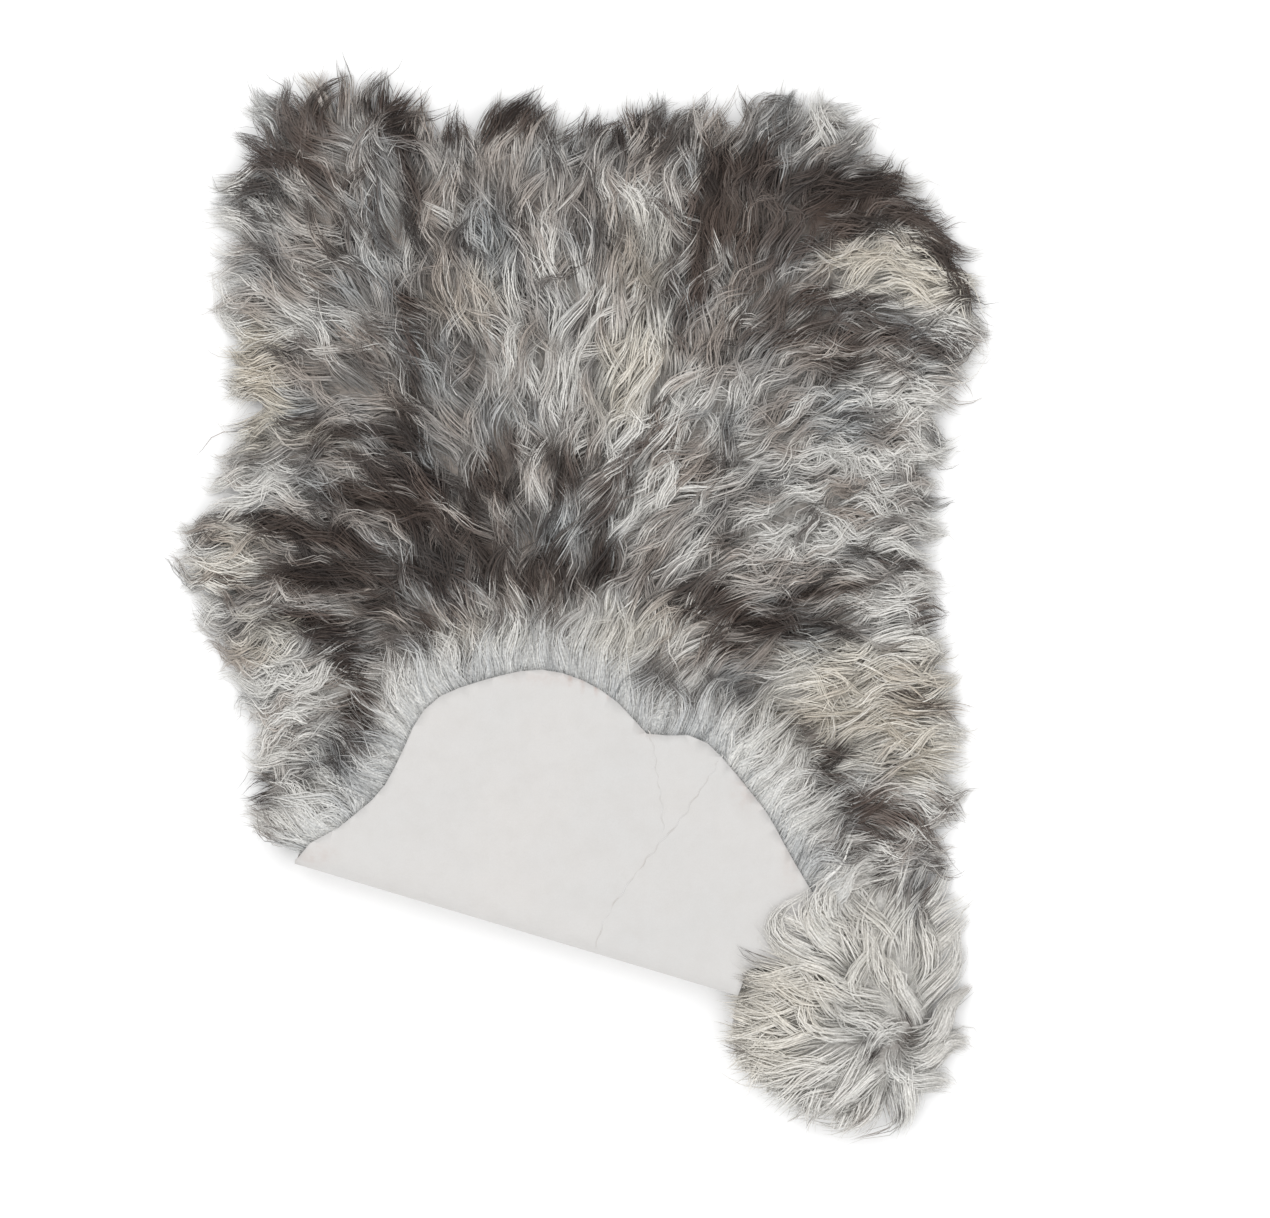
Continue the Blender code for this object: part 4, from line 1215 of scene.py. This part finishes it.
def make_strands(name, paths, offset, of_lock, colours, guides, material):
    """Pieces of strands, sorted down the rug so that each piece has a stretch of it."""
    run = guides[of_lock][:, -1] - guides[of_lock][:, 0]
    left = np.stack([-run[:, 1], run[:, 0]], axis=-1)
    left /= np.maximum(np.linalg.norm(left, axis=1, keepdims=True), 1e-6)
    sideways = np.clip((offset * left).sum(axis=1) / (0.5 * LOCK_PITCH), -1.3, 1.3)
    rolls = np.radians(ROLL_BY_SIDE * sideways + chance.normal(0, ROLL_VARIES, len(paths)))
    thicker = mix(*WIDER_IF_LIGHT, read(LIGHTNESS, paths[:, 0, :2]))
    widths = STRAND_WIDTH * thicker * chance.uniform(*WIDTHS_VARY, len(paths))
    order = np.argsort(-paths[:, 0, 1])
    parts = np.array_split(order, math.ceil(len(order) / MOST_STRANDS_A_PIECE))
    made = []
    for number, part in enumerate(parts, 1):
        title = f"{name}_{number}" if len(parts) > 1 else name
        mesh = strand_mesh(title, paths[part], rolls[part], widths[part], colours[part])
        made.append(new_piece(title, mesh, material))
    return made


def random_places(count, wanted):
    """As many places in plan as count says, anywhere that wanted allows."""
    found = np.empty((0, 2))
    while len(found) < count:
        tries = chance.uniform(-1, 1, (count, 2)) * MAP_HALF
        found = np.concatenate([found, tries[wanted(tries)]])
    return found[:count]


def make_lying_wool(material):
    """The wool of the lying part, in locks, with more strands where the leg's wool parts at its rim."""
    roots = spread_places(LOCK_PITCH, on_open_wool)
    length = STRAND_LENGTH * chance.uniform(*LYING_LENGTHS, len(roots))
    from_leg = np.linalg.norm(roots - on_rug(*LEG_MIDDLE), axis=1) / METRES_PER_PIXEL
    for factor, start, reach in LEG_LENGTHS:
        length *= mix(factor, 1.0, rise(from_leg, start, reach))
    guides = lock_guides(roots, length)
    locks = lock_facts(len(roots))
    starts = random_places(LYING_STRANDS, on_open_wool)
    starts = np.concatenate([starts, random_places(LEG_STRANDS, by_leg_rim)])
    far = smoothstep(read(FROM_LEG_MIDDLE, starts) / LEG_MIXING_REACH)
    mixing = mix(LEG_MIXING, LOCK_MIXING, far)[:, None]
    of_lock = nearest(roots, starts + mixing * chance.normal(0, 1, starts.shape))
    growing = on_rug(*OVER_SKIN_MIDDLE)
    near = np.linalg.norm(starts - growing, axis=1) < OVER_SKIN_REACH * METRES_PER_PIXEL
    plans, offset = strand_plans(starts, guides, locks, of_lock, near)
    depths = strand_depths(len(starts))
    heights = lying_heights(plans, of_lock, locks.lifts, offset, near, depths)
    paths = np.concatenate([plans, heights[..., None]], axis=-1)
    colours = strand_colours(plans, of_lock, locks, depths, offset, 0.0)
    return make_strands("wool", paths, offset, of_lock, colours, guides, material)


def make_fringe(material):
    """The wool of the turned part, which comes out all round from under its edge."""
    slope = np.stack(np.gradient(blurred(IN_FLAP, 4), MAP_STEP), axis=-1)

    def under_edge(places):
        inside = read(IN_FLAP, places)
        from_fold = (places - FOLD_LEFT) @ ACROSS
        near_edge = (inside > 0.001) & (inside < FRINGE_DEPTH) & (from_fold > FRINGE_FROM_FOLD)
        away_from_fold = -read(slope, places) @ ACROSS > FRINGE_FACING
        return near_edge & away_from_fold & (read(IN_OVER_SKIN, places) < FRINGE_UNDER_LEG)

    roots = spread_places(FRINGE_PITCH, under_edge)
    out = -read(slope, roots)
    out = out / np.linalg.norm(out, axis=1, keepdims=True) + FRINGE_LEAN
    out /= np.linalg.norm(out, axis=1, keepdims=True)
    length = FRINGE_LENGTH * chance.uniform(*FRINGE_LENGTHS, len(roots))
    guides = lock_guides(roots, length, out)
    locks = lock_facts(len(roots))
    starts = random_places(FRINGE_STRANDS, under_edge)
    of_lock = nearest(roots, starts + chance.normal(0, FRINGE_MIXING, starts.shape))
    everywhere = np.ones(len(starts), bool)
    plans, offset = strand_plans(starts, guides, locks, of_lock, everywhere, from_under=True)
    depths = strand_depths(len(starts))
    heights = fringe_heights(plans, locks.lifts, of_lock, depths)
    paths = np.concatenate([plans, heights[..., None]], axis=-1)
    colours = strand_colours(plans, of_lock, locks, depths, offset, 1.0)
    return make_strands("fringe", paths, offset, of_lock, colours, guides, material)


# The floor, light and camera


def make_floor():
    mesh = bpy.data.meshes.new("floor")
    corners = [(FLOOR_HALF * x, FLOOR_HALF * y, 0) for x, y in ((-1, -1), (1, -1), (1, 1), (-1, 1))]
    mesh.from_pydata(corners, [], [(0, 1, 2, 3)])
    mesh.materials.append(floor_material())
    floor = bpy.data.objects.new("floor", mesh)
    floor.location.z = -FLOOR_GAP
    bpy.context.scene.collection.objects.link(floor)


def make_light(name, place, size, power):
    lamp = bpy.data.lights.new(name, "AREA")
    lamp.shape = "SQUARE"
    lamp.size = size
    lamp.energy = power
    made = bpy.data.objects.new(name, lamp)
    made.location = place
    made.rotation_euler = (-Vector(place)).to_track_quat("-Z", "Y").to_euler()
    bpy.context.scene.collection.objects.link(made)


def make_surroundings():
    world = bpy.data.worlds.new("studio")
    bpy.context.scene.world = world
    world.use_nodes = True
    background = world.node_tree.nodes["Background"]
    background.inputs["Color"].default_value = (1, 1, 1, 1)
    background.inputs["Strength"].default_value = WORLD_LIGHT
    for name, place, size, power in LIGHTS:
        make_light(name, place, size, power)
    make_floor()


def make_camera():
    lens = bpy.data.cameras.new("camera")
    lens.sensor_fit = "HORIZONTAL"
    lens.sensor_width = SENSOR
    lens.lens = SENSOR * CAMERA_HEIGHT / (PHOTO_WIDE * METRES_PER_PIXEL)
    camera = bpy.data.objects.new("camera", lens)
    camera.location = (*on_rug(PHOTO_WIDE / 2, PHOTO_HIGH / 2), CAMERA_HEIGHT)
    bpy.context.scene.collection.objects.link(camera)
    bpy.context.scene.camera = camera


def main():
    make_surroundings()
    make_camera()
    bpy.context.scene.view_settings.view_transform = "Standard"
    wool = wool_material("long wool", 500)
    under_wool = wool_material("under wool", 260)
    base = make_base(under_wool)
    strands = make_lying_wool(wool) + make_fringe(wool)
    skin = make_skin(skin_material())
    crease = crease_material()
    creases = [make_crease(i, pixels, crease) for i, pixels in enumerate(CREASES, 1)]


main()
